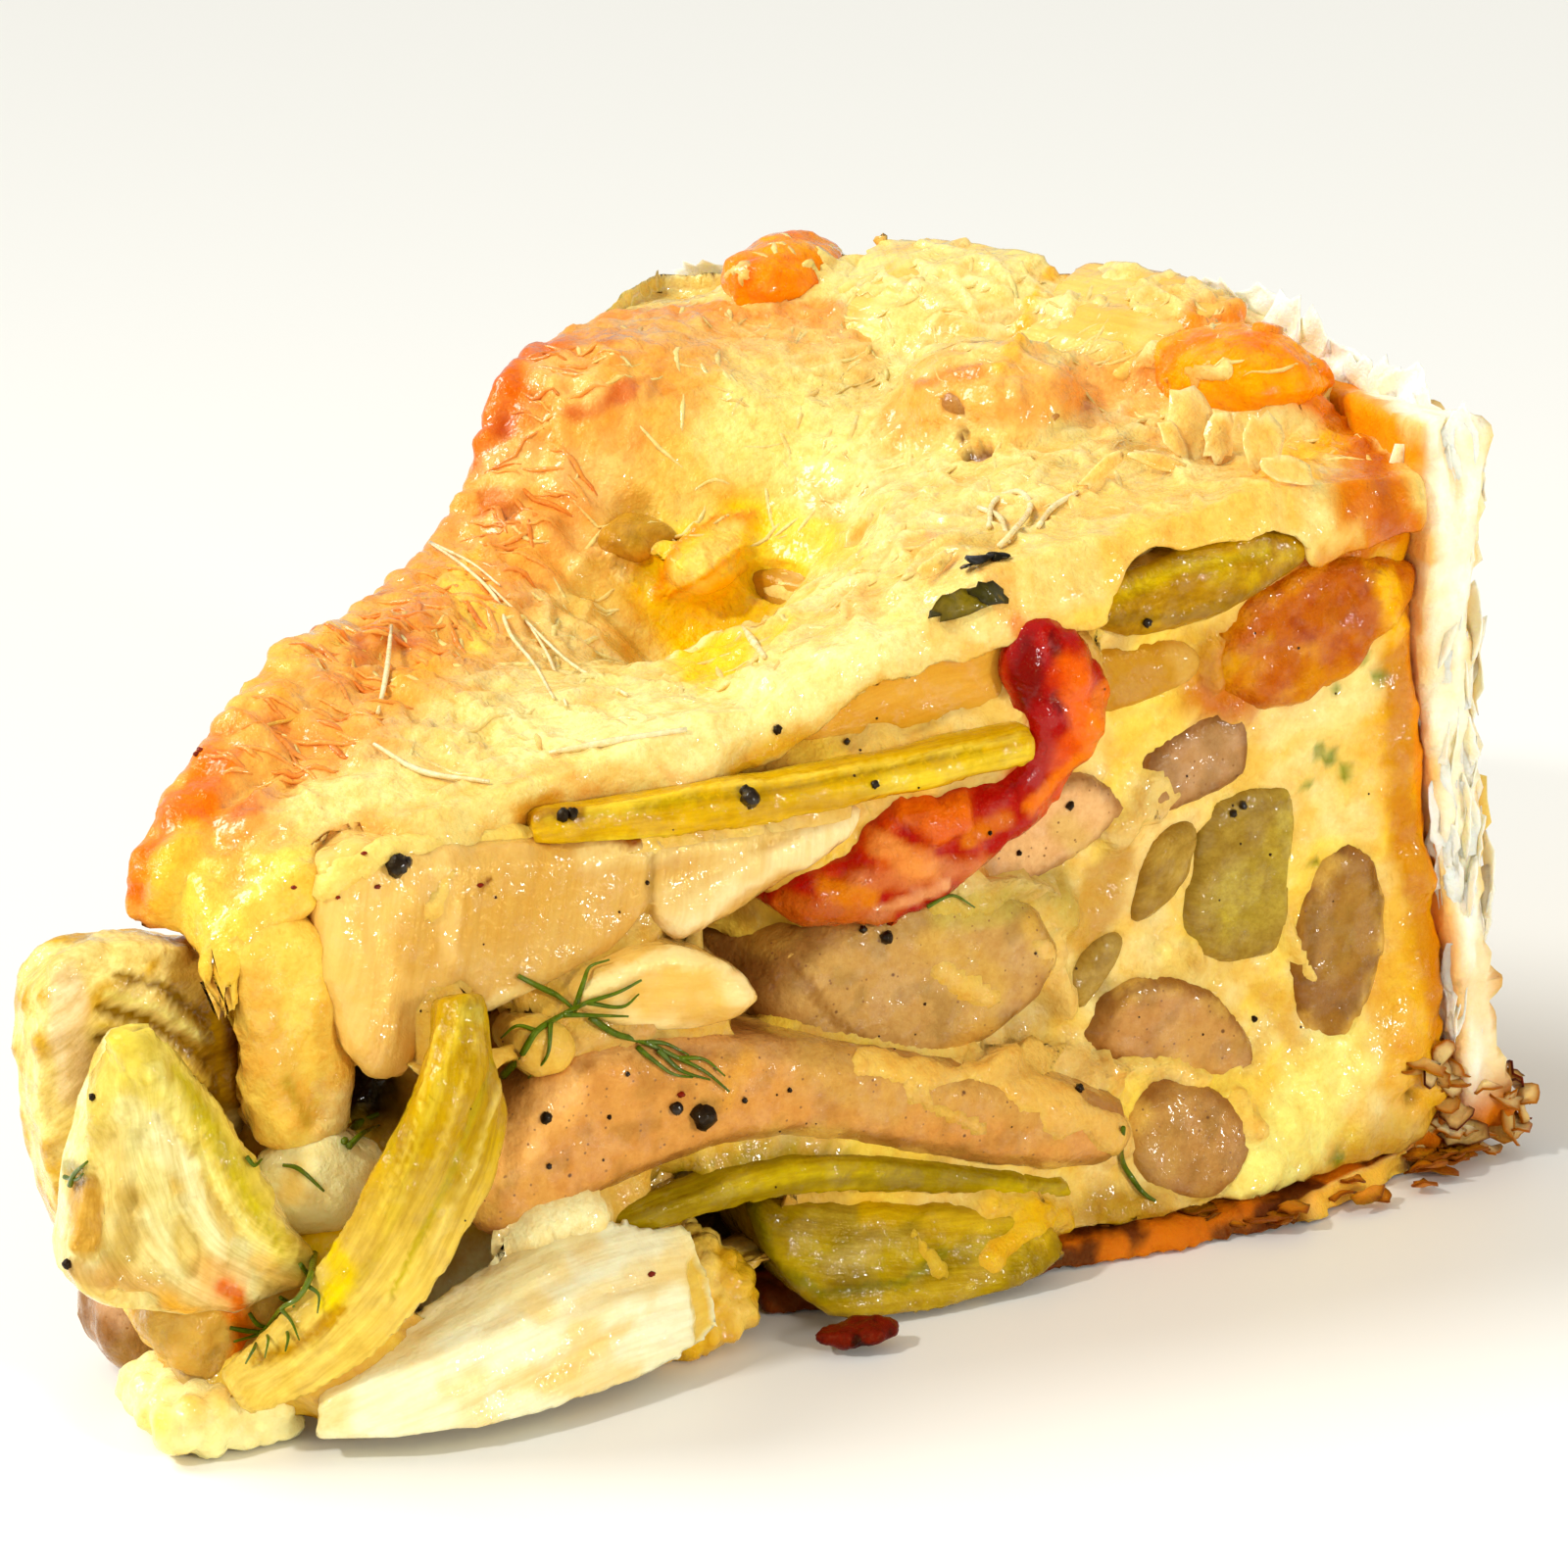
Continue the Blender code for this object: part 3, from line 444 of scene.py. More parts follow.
print("Making the custard")
custard = {
    "grid": 0.78,                     # spacing of its mesh, mm
    "closing": 1.3,                   # fills the cracks between the fillings, mm
    "draw": 0.1,                      # leaves the fillings standing a little proud
    "colour": (244, 206, 104),
    "curd": (255, 234, 160),
    "crustSide": (240, 176, 20),      # stronger yellow towards the pastry
    "nearCrust": (244, 150, 30),
    "under": (190, 140, 34),
    # painted shade: the duller, darker custard towards the tip, where it lies deep between the fillings
    "left": (214, 168, 72),
    "milky": (206, 178, 106),
    "yellow": (255, 220, 84),
    "finish": {
        "mottle": [(2.6, 0.4, (240, 200, 110)), (0.8, 0.3, (240, 206, 130))],
        "roughness": (0.46, 0.14), "coat": 0.16, "coatRoughness": 0.07, "glow": 0.12, "glowDepth": 1.6,
        "bumps": [(1.3, 0.3, "all"), (0.5, 0.13, "all")]},
    # strokes: line on the cut, half width, colour, strength, how far it stands up
    "strokes": [
        ([(89.0, 33.7), (85.0, 30.0)], 5.0, (250, 218, 144), 0.85, 0.0),
        ([(82.1, 26.2), (83.1, 31.2)], 3.6, (200, 150, 62), 0.85, 0.0),
        ([(71.4, 29.5), (76.8, 31.2)], 3.0, (206, 176, 84), 0.7, 0.2),
        ([(99.5, 42.5), (107.0, 44.1)], 3.4, (252, 230, 150), 0.8, 0.3),
        ([(102.7, 5.5), (105.4, 11.3), (99.0, 2.5)], 5.0, (255, 242, 134), 0.95, 0.5),
        ([(93.8, 45.7), (101.1, 49.9), (105.9, 57.7), (106.1, 64.3)], 6.0, (200, 104, 0), 0.95, 0.5),
        ([(97.4, 48.7), (101.8, 56.5)], 3.0, (178, 86, 2), 0.6, 0.2),
        ([(110.0, 48.8), (111.0, 35.0), (113.9, 21.5), (116.1, 14.0)], 2.2, (208, 136, 0), 0.95, 0.2),
        ([(111.6, 48.6), (112.9, 34.8), (115.8, 23.0), (118.3, 11.9)], 0.9, (242, 150, 40), 0.7, 0.0),
        ([(88.5, 0.3), (82.8, 1.8)], 2.4, (176, 134, 34), 0.8, 0.0),
        ([(77.3, 1.0), (75.5, -2.2), (70.0, -3.9)], 2.4, (238, 188, 40), 0.8, 0.3),
        # painted shadow: the eight dark, sunk strokes below paint the shade in the deep hollows between the
        # fillings
        ([(19.1, 24.7), (19.3, 20.7)], 2.8, (26, 14, 2), 1.0, -3.2),
        ([(27.7, 27.4), (33.8, 24.4)], 2.0, (44, 30, 6), 0.95, -2.2),
        ([(44.4, 30.5), (52.1, 26.5)], 2.3, (34, 26, 10), 1.0, -2.8),
        ([(52.9, 30.1), (59.0, 28.4)], 1.5, (84, 42, 8), 0.85, -1.4),
        ([(44.3, 9.7), (51.6, 5.7)], 2.7, (40, 32, 2), 1.0, -3.0),
        ([(49.4, -3.7), (56.5, -7.3)], 1.6, (110, 84, 14), 0.7, -0.6),
        ([(22.6, 18.1), (28.4, 22.0)], 3.0, (120, 84, 20), 0.7, -0.5),
        ([(113.4, 6.6)], 0.8, (60, 24, 6), 0.95, -0.8),
        ([(88.1, 23.6)], 1.3, (255, 232, 130), 0.9, 0.8),
        # painted shade in a dip low on the cut
        ([(75.5, -2.2), (79.2, -2.4)], 1.2, (90, 60, 20), 0.8, -0.5),
        ([(108.7, 53.2), (109.6, 48.9)], 1.8, (255, 190, 10), 0.9, 0.2),
        ([(23.9, 4.6), (29.8, 8.4), (36.6, 9.2)], 2.6, (255, 246, 186), 0.95, 1.5),
        ([(73.2, 29.6), (78.6, 31.0)], 1.6, (160, 124, 40), 0.6, 0.2),
        ([(98.4, 18.6), (101.4, 14.6)], 2.0, (228, 176, 70), 0.7, 0.3),
        ([(109.0, 17.8), (112.2, 12.0)], 2.4, (236, 170, 40), 0.7, 0.2),
        ([(81.6, 23.3), (83.4, 20.9)], 1.5, (150, 120, 60), 0.7, -0.5),
        ([(76.5, 47.9), (76.7, 42.1), (73.9, 39.0)], 1.7, (184, 44, 0), 0.95, 0.1),
        ([(71.3, 34.5), (72.2, 31.9)], 1.4, (206, 90, 20), 0.7, 0.3),
        ([(44.3, 11.4), (53.8, 11.5), (59.1, 9.7)], 1.4, (160, 132, 0), 0.9, 0.2),
        # custard that has run over the fillings
        ([(73.4, 15.1), (78.5, 11.3), (84.6, 7.6)], 2.9, (226, 176, 90), 0.9, 1.88),
        ([(78.9, 15.5), (83.5, 13.1)], 2.2, (236, 190, 100), 0.9, 1.88),
        ([(65.3, 14.3), (71.6, 10.7)], 1.2, (216, 166, 84), 0.85, 1.65),
        ([(60.8, 18.0), (68.0, 15.6), (77.0, 15.4)], 1.5, (232, 186, 92), 0.9, 1.72),
        ([(67.8, 30.4), (75.0, 31.1), (78.2, 28.5)], 2.2, (200, 172, 84), 0.85, 1.65),
        ([(67.9, 25.0), (72.4, 21.7)], 2.0, (224, 180, 92), 0.85, 1.50),
        ([(76.8, 26.1), (79.2, 20.7)], 1.5, (232, 190, 104), 0.9, 1.65),
        ([(53.8, 28.3), (58.1, 28.9)], 1.2, (196, 140, 76), 0.8, 1.50),
        ([(83.0, 34.6), (87.5, 38.2)], 1.6, (226, 192, 118), 0.85, 1.65),
        ([(69.6, 32.3), (76.8, 30.8)], 1.0, (214, 180, 110), 0.8, 1.65),
        ([(87.6, 35.6), (89.4, 37.1)], 1.0, (220, 180, 110), 0.8, 1.50),
        ([(83.5, 13.9), (88.6, 13.5), (92.5, 11.2)], 1.3, (250, 208, 110), 0.9, 1.72),
        ([(95.9, 9.3), (97.9, 5.4)], 1.0, (240, 196, 96), 0.85, 1.50),
        ([(91.2, 24.0), (92.2, 21.7)], 0.9, (236, 196, 100), 0.85, 1.50),
        ([(100.1, 24.4), (103.2, 18.7)], 1.0, (240, 200, 104), 0.85, 1.50),
        ([(80.0, 51.6), (81.8, 48.1)], 1.2, (206, 150, 60), 0.8, 1.50),
        ([(91.3, 51.1), (92.8, 46.7)], 1.4, (206, 146, 50), 0.85, 1.50),
        ([(72.7, 3.1), (78.2, 1.7), (72.7, -0.9)], 2.6, (226, 178, 40), 0.9, 1.80),
        ([(65.4, 2.2), (68.2, -1.8)], 1.2, (206, 170, 50), 0.85, 1.65),
        ([(30.9, 23.3), (36.8, 24.0), (41.8, 24.0)], 1.2, (206, 160, 90), 0.8, 1.50),
        ([(25.5, 39.4), (23.8, 36.4)], 1.2, (240, 200, 110), 0.8, 1.65),
        ([(15.2, 39.7), (22.4, 42.0), (30.4, 41.9)], 1.6, (252, 222, 124), 0.9, 1.95),
        ([(40.3, 38.9), (50.4, 39.1), (60.7, 39.3)], 0.7, (240, 200, 120), 0.7, 1.50),
    ],
    "oily": [(93.8, 45.7), (101.1, 49.9), (106.1, 64.3)],            # where it glistens most
    "herb": (92, 122, 20),
    "herbs": [(106.4, 46.9), (108.4, 44.8), (104.3, 44.4), (102.9, 39.1), (105.6, 36.6), (104.2, 38.1),
              (103.0, 29.2), (104.0, 27.3), (106.0, 2.2), (107.2, 49.1), (101.6, 36.3)],
}
custardFinish = foodFinish("set custard", custard["finish"])
cutFillings = ["custard", "sausage_round_big", "sausage_round_mid", "sausage_round_low", "sausage_oval",
               "sausage_long", "sausage_upper_left", "sausage_upper_right", "fennel_large", "fennel_bulb_top",
               "fennel_bulb_right", "fennel_almond", "fennel_knob", "fennel_layer_lower", "fennel_block",
               "fennel_wedge", "fennel_bit", "fennel_stalk_top", "fennel_stalk_yellow", "fennel_stalk_green",
               "fennel_stalk_curved", "fennel_lower", "tomato_cut", "browned_corner", "custard_spill",
               "egg_white", "egg_yolk", "egg_crumble", "custard_foot", "cheese_drip"]


def makeCustard():
    piece = denseCopy("custard_set", cutFillings, custard["grid"], 2, custard["closing"], custard["draw"])
    at, facing = pointsOf(piece), normalsOf(piece)
    along, height, out = cutPlace(at)
    radius = discPlace(at)[0]
    ends = neighbours(piece)
    over = blurred(lyingOver(at, facing, cutFillings[1:]), ends, 4)
    proud = ramp(1.2, 3.5, out) * ramp(70, 60, along)          # the loose pieces in front stay clean
    edge = crustPlace(at) + 2.0 * unevenness(at, 9.0, 21)
    curdy = 0.4 + 1.1 * ramp(74, 104, radius) * ramp(26, 10, height)
    lift = 0.15 + 0.45 * unevenness(at, 3.4, 3) + 0.16 * unevenness(at, 1.3, 5, 2)
    lift += curdy * (0.6 * pebbles(at + 1.2 * swells(at, 3.0, 9)[:, None], 3.4, 11) - 0.2)
    creep = ramp(0.98, 0.6, over) * ramp(0.0, 0.45, unevenness(at, 3.6, 13)) * (1.0 - proud)
    lift = (1.0 - over) * lift + over * (-0.7 + 1.15 * creep)
    colour = np.tile(paint(*custard["colour"]), (len(at), 1))
    curds = pebbles(at, 2.9, 11)
    colour = blendIn(colour, paint(*custard["curd"]), 0.7 * ramp(0.3, 0.75, curds) * ramp(50, 80, radius))
    # painted shade: the custard towards the tip is darkened, as it lies in shade between the fillings
    colour = blendIn(colour, paint(*custard["left"]), 0.85 * ramp(66, 52, radius))
    milky = ramp(0.1, 0.6, unevenness(at, 6.0, 33)) * ramp(100, 80, radius)
    colour = blendIn(colour, paint(*custard["milky"]), 0.75 * milky)
    colour = blendIn(colour, paint(*custard["yellow"]), 0.75 * ramp(0.1, 0.6, unevenness(at, 5.0, 35)))
    colour = blendIn(colour, paint(*custard["crustSide"]), 0.8 * ramp(109, 115, edge))
    colour = blendIn(colour, paint(*custard["nearCrust"]), 0.8 * ramp(115.6, 117.2, edge))
    under = ramp(6.5, 1.0, height + 1.5 * unevenness(at, 5.0, 31))
    colour = blendIn(colour, paint(*custard["under"]), 0.8 * under)
    specks = [([spot], 0.9, custard["herb"], 0.8, 0.0) for spot in custard["herbs"]]
    colour, rise = touchUp(at, facing, colour, custard["strokes"] + specks)
    movePoints(piece, at + facing * (lift + rise)[:, None])
    u, v = brushPlace(at)
    amber = ramp(9.0, 4.0, reach(u, v, custard["oily"]))
    wet = 0.3 + 0.5 * ramp(-0.2, 0.5, unevenness(at, 7.0, 51)) + 0.4 * ramp(60, 30, radius) + 0.6 * amber
    colourIn(piece, colour, wet)
    handOver(piece, "custard", custardFinish, "custard")


makeCustard()

print("Melting the cheese")
cheese = {
    "grid": 0.56,
    "closing": 1.6,
    "draw": -0.15,
    "colour": (238, 212, 124),
    "white": (250, 232, 160),
    "pool": (240, 182, 22),
    "golden": (236, 166, 74),
    "browned": (236, 146, 68),
    "scorched": (200, 100, 48),
    "shreds": 480,
    "shredLength": (3.0, 9.0),
    "stalkShows": [(85.3, 54.9), (92.1, 56.4), (97.3, 57.6)],      # the cheese draws back from the stalk here
    "finish": {
        "mottle": [(2.2, 0.4, (250, 206, 110)), (0.7, 0.35, (246, 206, 124))],
        "roughness": (0.42, 0.14), "coat": 0.16, "coatRoughness": 0.08, "glow": 0.15, "glowDepth": 1.8,
        "bumps": [(1.1, 0.3, "all"), (0.45, 0.12, "all")]},
    "strokes": [
        ([(44.6, 60.6), (47.1, 56.3), (51.3, 59.0), (50.4, 62.2)], 6.0, (250, 206, 10), 1.0, -0.3),
        ([(45.4, 56.5), (47.9, 52.3)], 3.4, (250, 204, 16), 0.85, 0.0),
        ([(58.0, 62.2), (59.7, 60.4)], 2.2, (244, 196, 30), 0.7, 0.0),
        ([(40.6, 66.4), (40.5, 63.3)], 2.6, (196, 140, 50), 0.8, -0.2),
        ([(45.9, 60.4), (49.4, 63.5)], 2.0, (255, 214, 110), 0.9, 0.2),
        ([(42.9, 59.3), (45.1, 63.1), (48.1, 64.8), (51.1, 64.8)], 0.5, (238, 146, 0), 0.95, 0.5),
        ([(51.1, 64.7), (50.2, 62.2), (46.9, 60.3), (43.1, 59.3)], 0.4, (246, 170, 10), 0.9, 0.3),
        ([(37.2, 60.6), (40.5, 56.3)], 3.0, (222, 176, 70), 0.6, 0.0),
        ([(1.2, 41.7), (4.1, 45.9), (6.5, 49.8)], 2.6, (238, 116, 0), 0.95, 0.3),
        ([(-1.2, 41.3), (2.1, 42.7)], 1.4, (232, 120, 14), 0.9, 0.0),
        ([(7.9, 55.0), (12.6, 58.2), (17.3, 59.9)], 3.0, (252, 200, 96), 0.7, 0.3),
        ([(15.4, 46.3), (20.9, 47.1)], 3.4, (250, 232, 150), 0.8, 0.2),
        ([(21.9, 54.3), (23.5, 54.9)], 2.4, (240, 170, 60), 0.7, 0.0),
        ([(23.6, 62.2), (30.8, 64.4), (34.0, 61.8)], 2.6, (248, 178, 80), 0.7, 0.2),
        ([(29.8, 72.9), (31.9, 76.5), (34.3, 80.0)], 3.0, (226, 104, 36), 0.8, 0.2),
        ([(36.6, 74.1), (40.7, 75.6)], 1.2, (206, 96, 60), 0.7, 0.0),
        ([(30.6, 73.6)], 1.4, (186, 70, 44), 0.8, 0.0),
        ([(34.3, 81.5), (45.6, 81.1), (58.0, 79.7)], 1.5, (236, 140, 50), 0.8, 0.2),
        ([(41.5, 79.3), (50.5, 78.5), (60.5, 77.6)], 2.4, (242, 176, 90), 0.6, 0.2),
        ([(31.7, 70.4), (37.3, 69.1)], 3.0, (250, 206, 120), 0.6, 0.2),
        ([(34.2, 77.0), (37.4, 75.9)], 2.2, (252, 196, 110), 0.8, 0.2),
        ([(56.3, 70.2), (50.5, 72.3)], 6.0, (250, 232, 140), 0.7, 0.0),
        ([(65.2, 71.3), (69.1, 72.8), (75.2, 72.2)], 3.8, (238, 172, 78), 0.85, 0.3),
        ([(76.1, 69.8), (71.7, 67.8)], 2.0, (244, 186, 90), 0.7, 0.2),
        ([(65.6, 73.6), (70.8, 74.2)], 0.9, (214, 128, 50), 0.7, 0.1),
        ([(68.2, 72.0), (69.1, 71.3)], 0.7, (150, 76, 26), 0.85, -0.9),
        ([(69.5, 69.3)], 0.8, (140, 66, 20), 0.85, -0.9),
        ([(70.0, 67.5), (71.9, 67.5)], 0.7, (96, 40, 12), 0.9, -0.9),
        ([(84.1, 66.6), (86.8, 65.1)], 1.8, (196, 164, 80), 0.7, 0.0),
        ([(79.6, 71.8), (88.5, 71.3)], 3.4, (246, 166, 78), 0.8, 0.0),
        ([(74.2, 76.3), (76.2, 80.0), (78.0, 83.7)], 0.8, (250, 186, 50), 0.85, 0.5),
        ([(72.5, 74.1), (74.6, 76.6)], 0.8, (248, 190, 60), 0.7, 0.4),
        ([(79.8, 62.2), (86.9, 61.4), (93.3, 62.4)], 3.4, (244, 204, 110), 0.6, 0.0),
        ([(82.5, 58.6), (91.5, 60.1), (100.6, 62.4)], 1.4, (244, 196, 84), 0.7, 0.2),
        ([(89.3, 74.9), (96.5, 75.0), (100.3, 71.4), (104.2, 66.1)], 3.2, (246, 132, 6), 0.9, 0.2),
        ([(105.2, 65.2), (108.0, 60.8), (109.3, 55.6), (105.1, 55.7)], 4.4, (214, 120, 0), 1.0, -0.2),
        ([(107.1, 63.4), (109.7, 57.3)], 1.4, (188, 92, 0), 0.8, 0.0),
        ([(96.9, 63.6), (99.6, 65.0)], 2.6, (244, 184, 84), 0.7, 0.0),
        ([(101.8, 56.5), (108.5, 52.4)], 3.0, (214, 128, 10), 0.7, 0.0),
        ([(49.6, 45.0), (56.4, 48.2), (62.8, 51.1)], 1.5, (214, 160, 16), 0.85, 0.3),
        ([(32.2, 49.5), (45.4, 48.6), (58.1, 51.0), (64.1, 54.3)], 3.4, (255, 244, 168), 0.7, 0.3),
        ([(31.3, 43.3), (33.7, 43.8)], 1.5, (216, 150, 30), 0.8, 0.0),
        ([(21.1, 40.4), (19.5, 39.5)], 1.9, (220, 120, 30), 0.7, 0.0),
        ([(15.1, 39.3), (12.8, 40.4)], 1.2, (226, 150, 60), 0.6, 0.0),
        ([(4.3, 41.6), (7.2, 36.5), (12.0, 40.5)], 4.4, (250, 218, 84), 0.7, 0.2),
        ([(73.7, 56.4), (74.6, 54.7)], 1.2, (230, 120, 30), 0.8, 0.0),
        ([(10.4, 56.8), (12.1, 55.6)], 1.6, (252, 172, 60), 0.85, 0.0),
        ([(62.8, 54.5), (64.9, 54.8)], 1.2, (250, 226, 130), 0.8, 0.0),
        ([(53.8, 61.9), (56.3, 62.4)], 2.0, (254, 214, 84), 0.7, 0.0),
        ([(69.7, 53.6), (72.4, 52.9)], 1.6, (238, 184, 78), 0.85, 0.0),
        ([(98.3, 63.0), (102.4, 64.7)], 2.4, (255, 188, 46), 0.75, 0.0),
        ([(69.7, 60.1), (72.7, 59.7)], 1.3, (210, 176, 90), 0.85, 0.0),
        ([(52.1, 62.0), (56.3, 61.6)], 3.0, (255, 216, 60), 0.7, 0.0),
        ([(28.3, 58.2), (26.8, 61.8)], 2.4, (255, 208, 84), 0.85, 0.0),
        ([(77.2, 55.2), (81.7, 56.3)], 1.6, (255, 208, 84), 0.8, 0.0),
    ],
}
cheeseFinish = foodFinish("melted cheese", cheese["finish"])
underCheese = ["fennel_back_left", "fennel_back_right", "fennel_speck"]
bareTops = ["tomato_top_left", "tomato_top_right"]


def shredRidges(at, seed, count, span, place):
    # soft ridges where shreds of cheese haven't quite melted
    chance = random.Random(seed)
    lift = np.zeros(len(at))
    for _ in range(count):
        middle, direction = place(chance)
        half = 0.5 * chance.uniform(*span)
        width = chance.uniform(0.4, 0.8)
        bend = chance.uniform(-0.06, 0.06)
        near = np.abs(at - middle).max(axis=1) < half + 1.5
        rel = at[near] - middle
        run = rel @ direction
        side = np.abs(rel @ np.cross(direction, up) + bend * run ** 2)
        ridge = np.clip(1.0 - (side / width) ** 2, 0.0, 1.0) * ramp(half, half * 0.7, np.abs(run))
        lift[near] = np.maximum(lift[near], ridge * chance.uniform(0.5, 1.0))
    return lift


def onCheese(chance):
    radius = 12.0 + 104.0 * math.sqrt(chance.random())
    way = math.radians(chance.uniform(0, 180))
    return onTop(radius, chance.uniform(-22.0, 21.5), 50.0), np.array([math.cos(way), math.sin(way), 0.0])


def makeCheese():
    piece = denseCopy("cheese_melted", ["melted_cheese", "sausage_top",
                                        "onion_slice"] + underCheese + bareTops,
                      cheese["grid"], 3, cheese["closing"], cheese["draw"])
    at, facing = pointsOf(piece), normalsOf(piece)
    along, height, out = cutPlace(at)
    radius, degrees = discPlace(at)
    top = ramp(0.15, 0.6, facing[:, 2])
    backness = radius * np.sin(np.radians(halfTurn - degrees))               # mm in from the back cut
    ridge = ramp(15.0, 5.0, backness + 2.6 * unevenness(at, 8.0, 61)) * ramp(98, 80, radius)
    flat = at.copy()
    flat[:, 2] = 50.0
    shreds = shredRidges(flat, 5, cheese["shreds"], cheese["shredLength"], onCheese)
    calm = 1.0 - 0.75 * np.exp(-((radius - 79.0) / 13.0) ** 2 - ((degrees - 9.0) / 9.0) ** 2)
    folds = swells(np.stack([radius / 1.9, backness / 9.0, height * 0.0], axis=1), 1.0, 83)
    slope = ramp(4.0, 9.0, backness) * ramp(24.0, 14.0, backness)        # the side of the browned ridge
    slope = slope * ramp(20, 34, radius) * ramp(92, 76, radius)
    u, v = brushPlace(at)
    bite = ramp(3.6, 2.2, reach(u, v, cheese["stalkShows"]) + 0.5 * unevenness(at, 3.0, 81))
    bite = bite * ramp(-3.0, -1.0, out)
    lip = ramp(0.3, 0.8, facing @ outOfCut) * ramp(-4.0, 0.5, out) * (1.0 - bite)
    lift = 0.6 * shreds * np.maximum(top, lip) * calm + 0.40 * unevenness(at, 4.5, 63) * calm
    lift = lift + 0.12 * unevenness(at, 1.5, 65, 2) + 0.55 * slope * folds
    blisters = pebbles(at * np.array([1.0, 1.0, 0.8]) + 1.4 * swells(at, 4.0, 67)[:, None], 2.9, 69)
    lift += ridge * (0.75 * ramp(0.1, 0.75, blisters) - 0.2)
    ends = neighbours(piece)
    under = blurred(lyingOver(at, facing, underCheese), ends, 3)
    bare = blurred(lyingOver(at, facing, bareTops), ends, 3)
    patchy = unevenness(at, 5.0, 91)
    openness = ramp(-0.1, 0.3, 0.5 - unevenness(at, 2.6, 92))
    lift = lift * (1.0 - bare) - 1.7 * bare * openness * ramp(0.4, 0.8, bare) + 0.2 * bare
    lift -= 0.8 * under * ramp(0.0, -0.35, patchy) + 2.4 * bite
    colour = np.tile(paint(*cheese["colour"]), (len(at), 1))
    colour = blendIn(colour, paint(*cheese["white"]),
                     0.6 * shreds + 0.4 * ramp(0.0, 0.6, unevenness(at, 7.0, 70)))
    between = (1.0 - shreds) * ramp(0.15, 0.6, unevenness(at, 3.2, 72))
    colour = blendIn(colour, paint(*cheese["golden"]), 0.5 * between)
    poolish = np.exp(-((radius - 80.0) / 13.0) ** 2 - ((degrees - 11.0) / 7.0) ** 2)
    colour = blendIn(colour, paint(*cheese["pool"]), 0.4 * ramp(0.25, 0.75, poolish))
    gold = ramp(17.0, 6.0, backness + 5.0 * unevenness(at, 9.0, 73)) * ramp(104, 84, radius)
    colour = blendIn(colour, paint(*cheese["golden"]), 0.85 * gold)
    brown = ridge * ramp(-0.1, 0.5, unevenness(at, 4.0, 75) + 0.3 * blisters)
    colour = blendIn(colour, paint(*cheese["browned"]), 0.7 * brown)
    dark = ridge * ramp(0.45, 0.8, unevenness(at, 3.0, 77, 4) + 0.1)
    colour = blendIn(colour, paint(*cheese["scorched"]), 0.7 * dark)
    colour, rise = touchUp(at, facing, colour, cheese["strokes"])
    dip = 3.6 * ramp(96, 116, radius) * ramp(12, 22, degrees) * top              # the far corner has sunk
    drips = swells(np.stack([along, along * 0, along * 0], axis=1), 5.0, 87)
    sag = lip * (1.1 + 1.9 * drips)
    at = at + facing * (0.3 + lift + rise)[:, None] + outOfCut * (0.9 * lip * ramp(-0.4, 0.6, drips))[:, None]
    at[:, 2] -= dip + sag
    movePoints(piece, at)
    wet = 0.4 + 0.35 * ridge + 0.5 * poolish + 0.25 * unevenness(at, 6.0, 79) + 0.4 * ramp(35, 20, radius)
    colourIn(piece, colour, wet)
    handOver(piece, "cheese", cheeseFinish, "melted_cheese")


makeCheese()

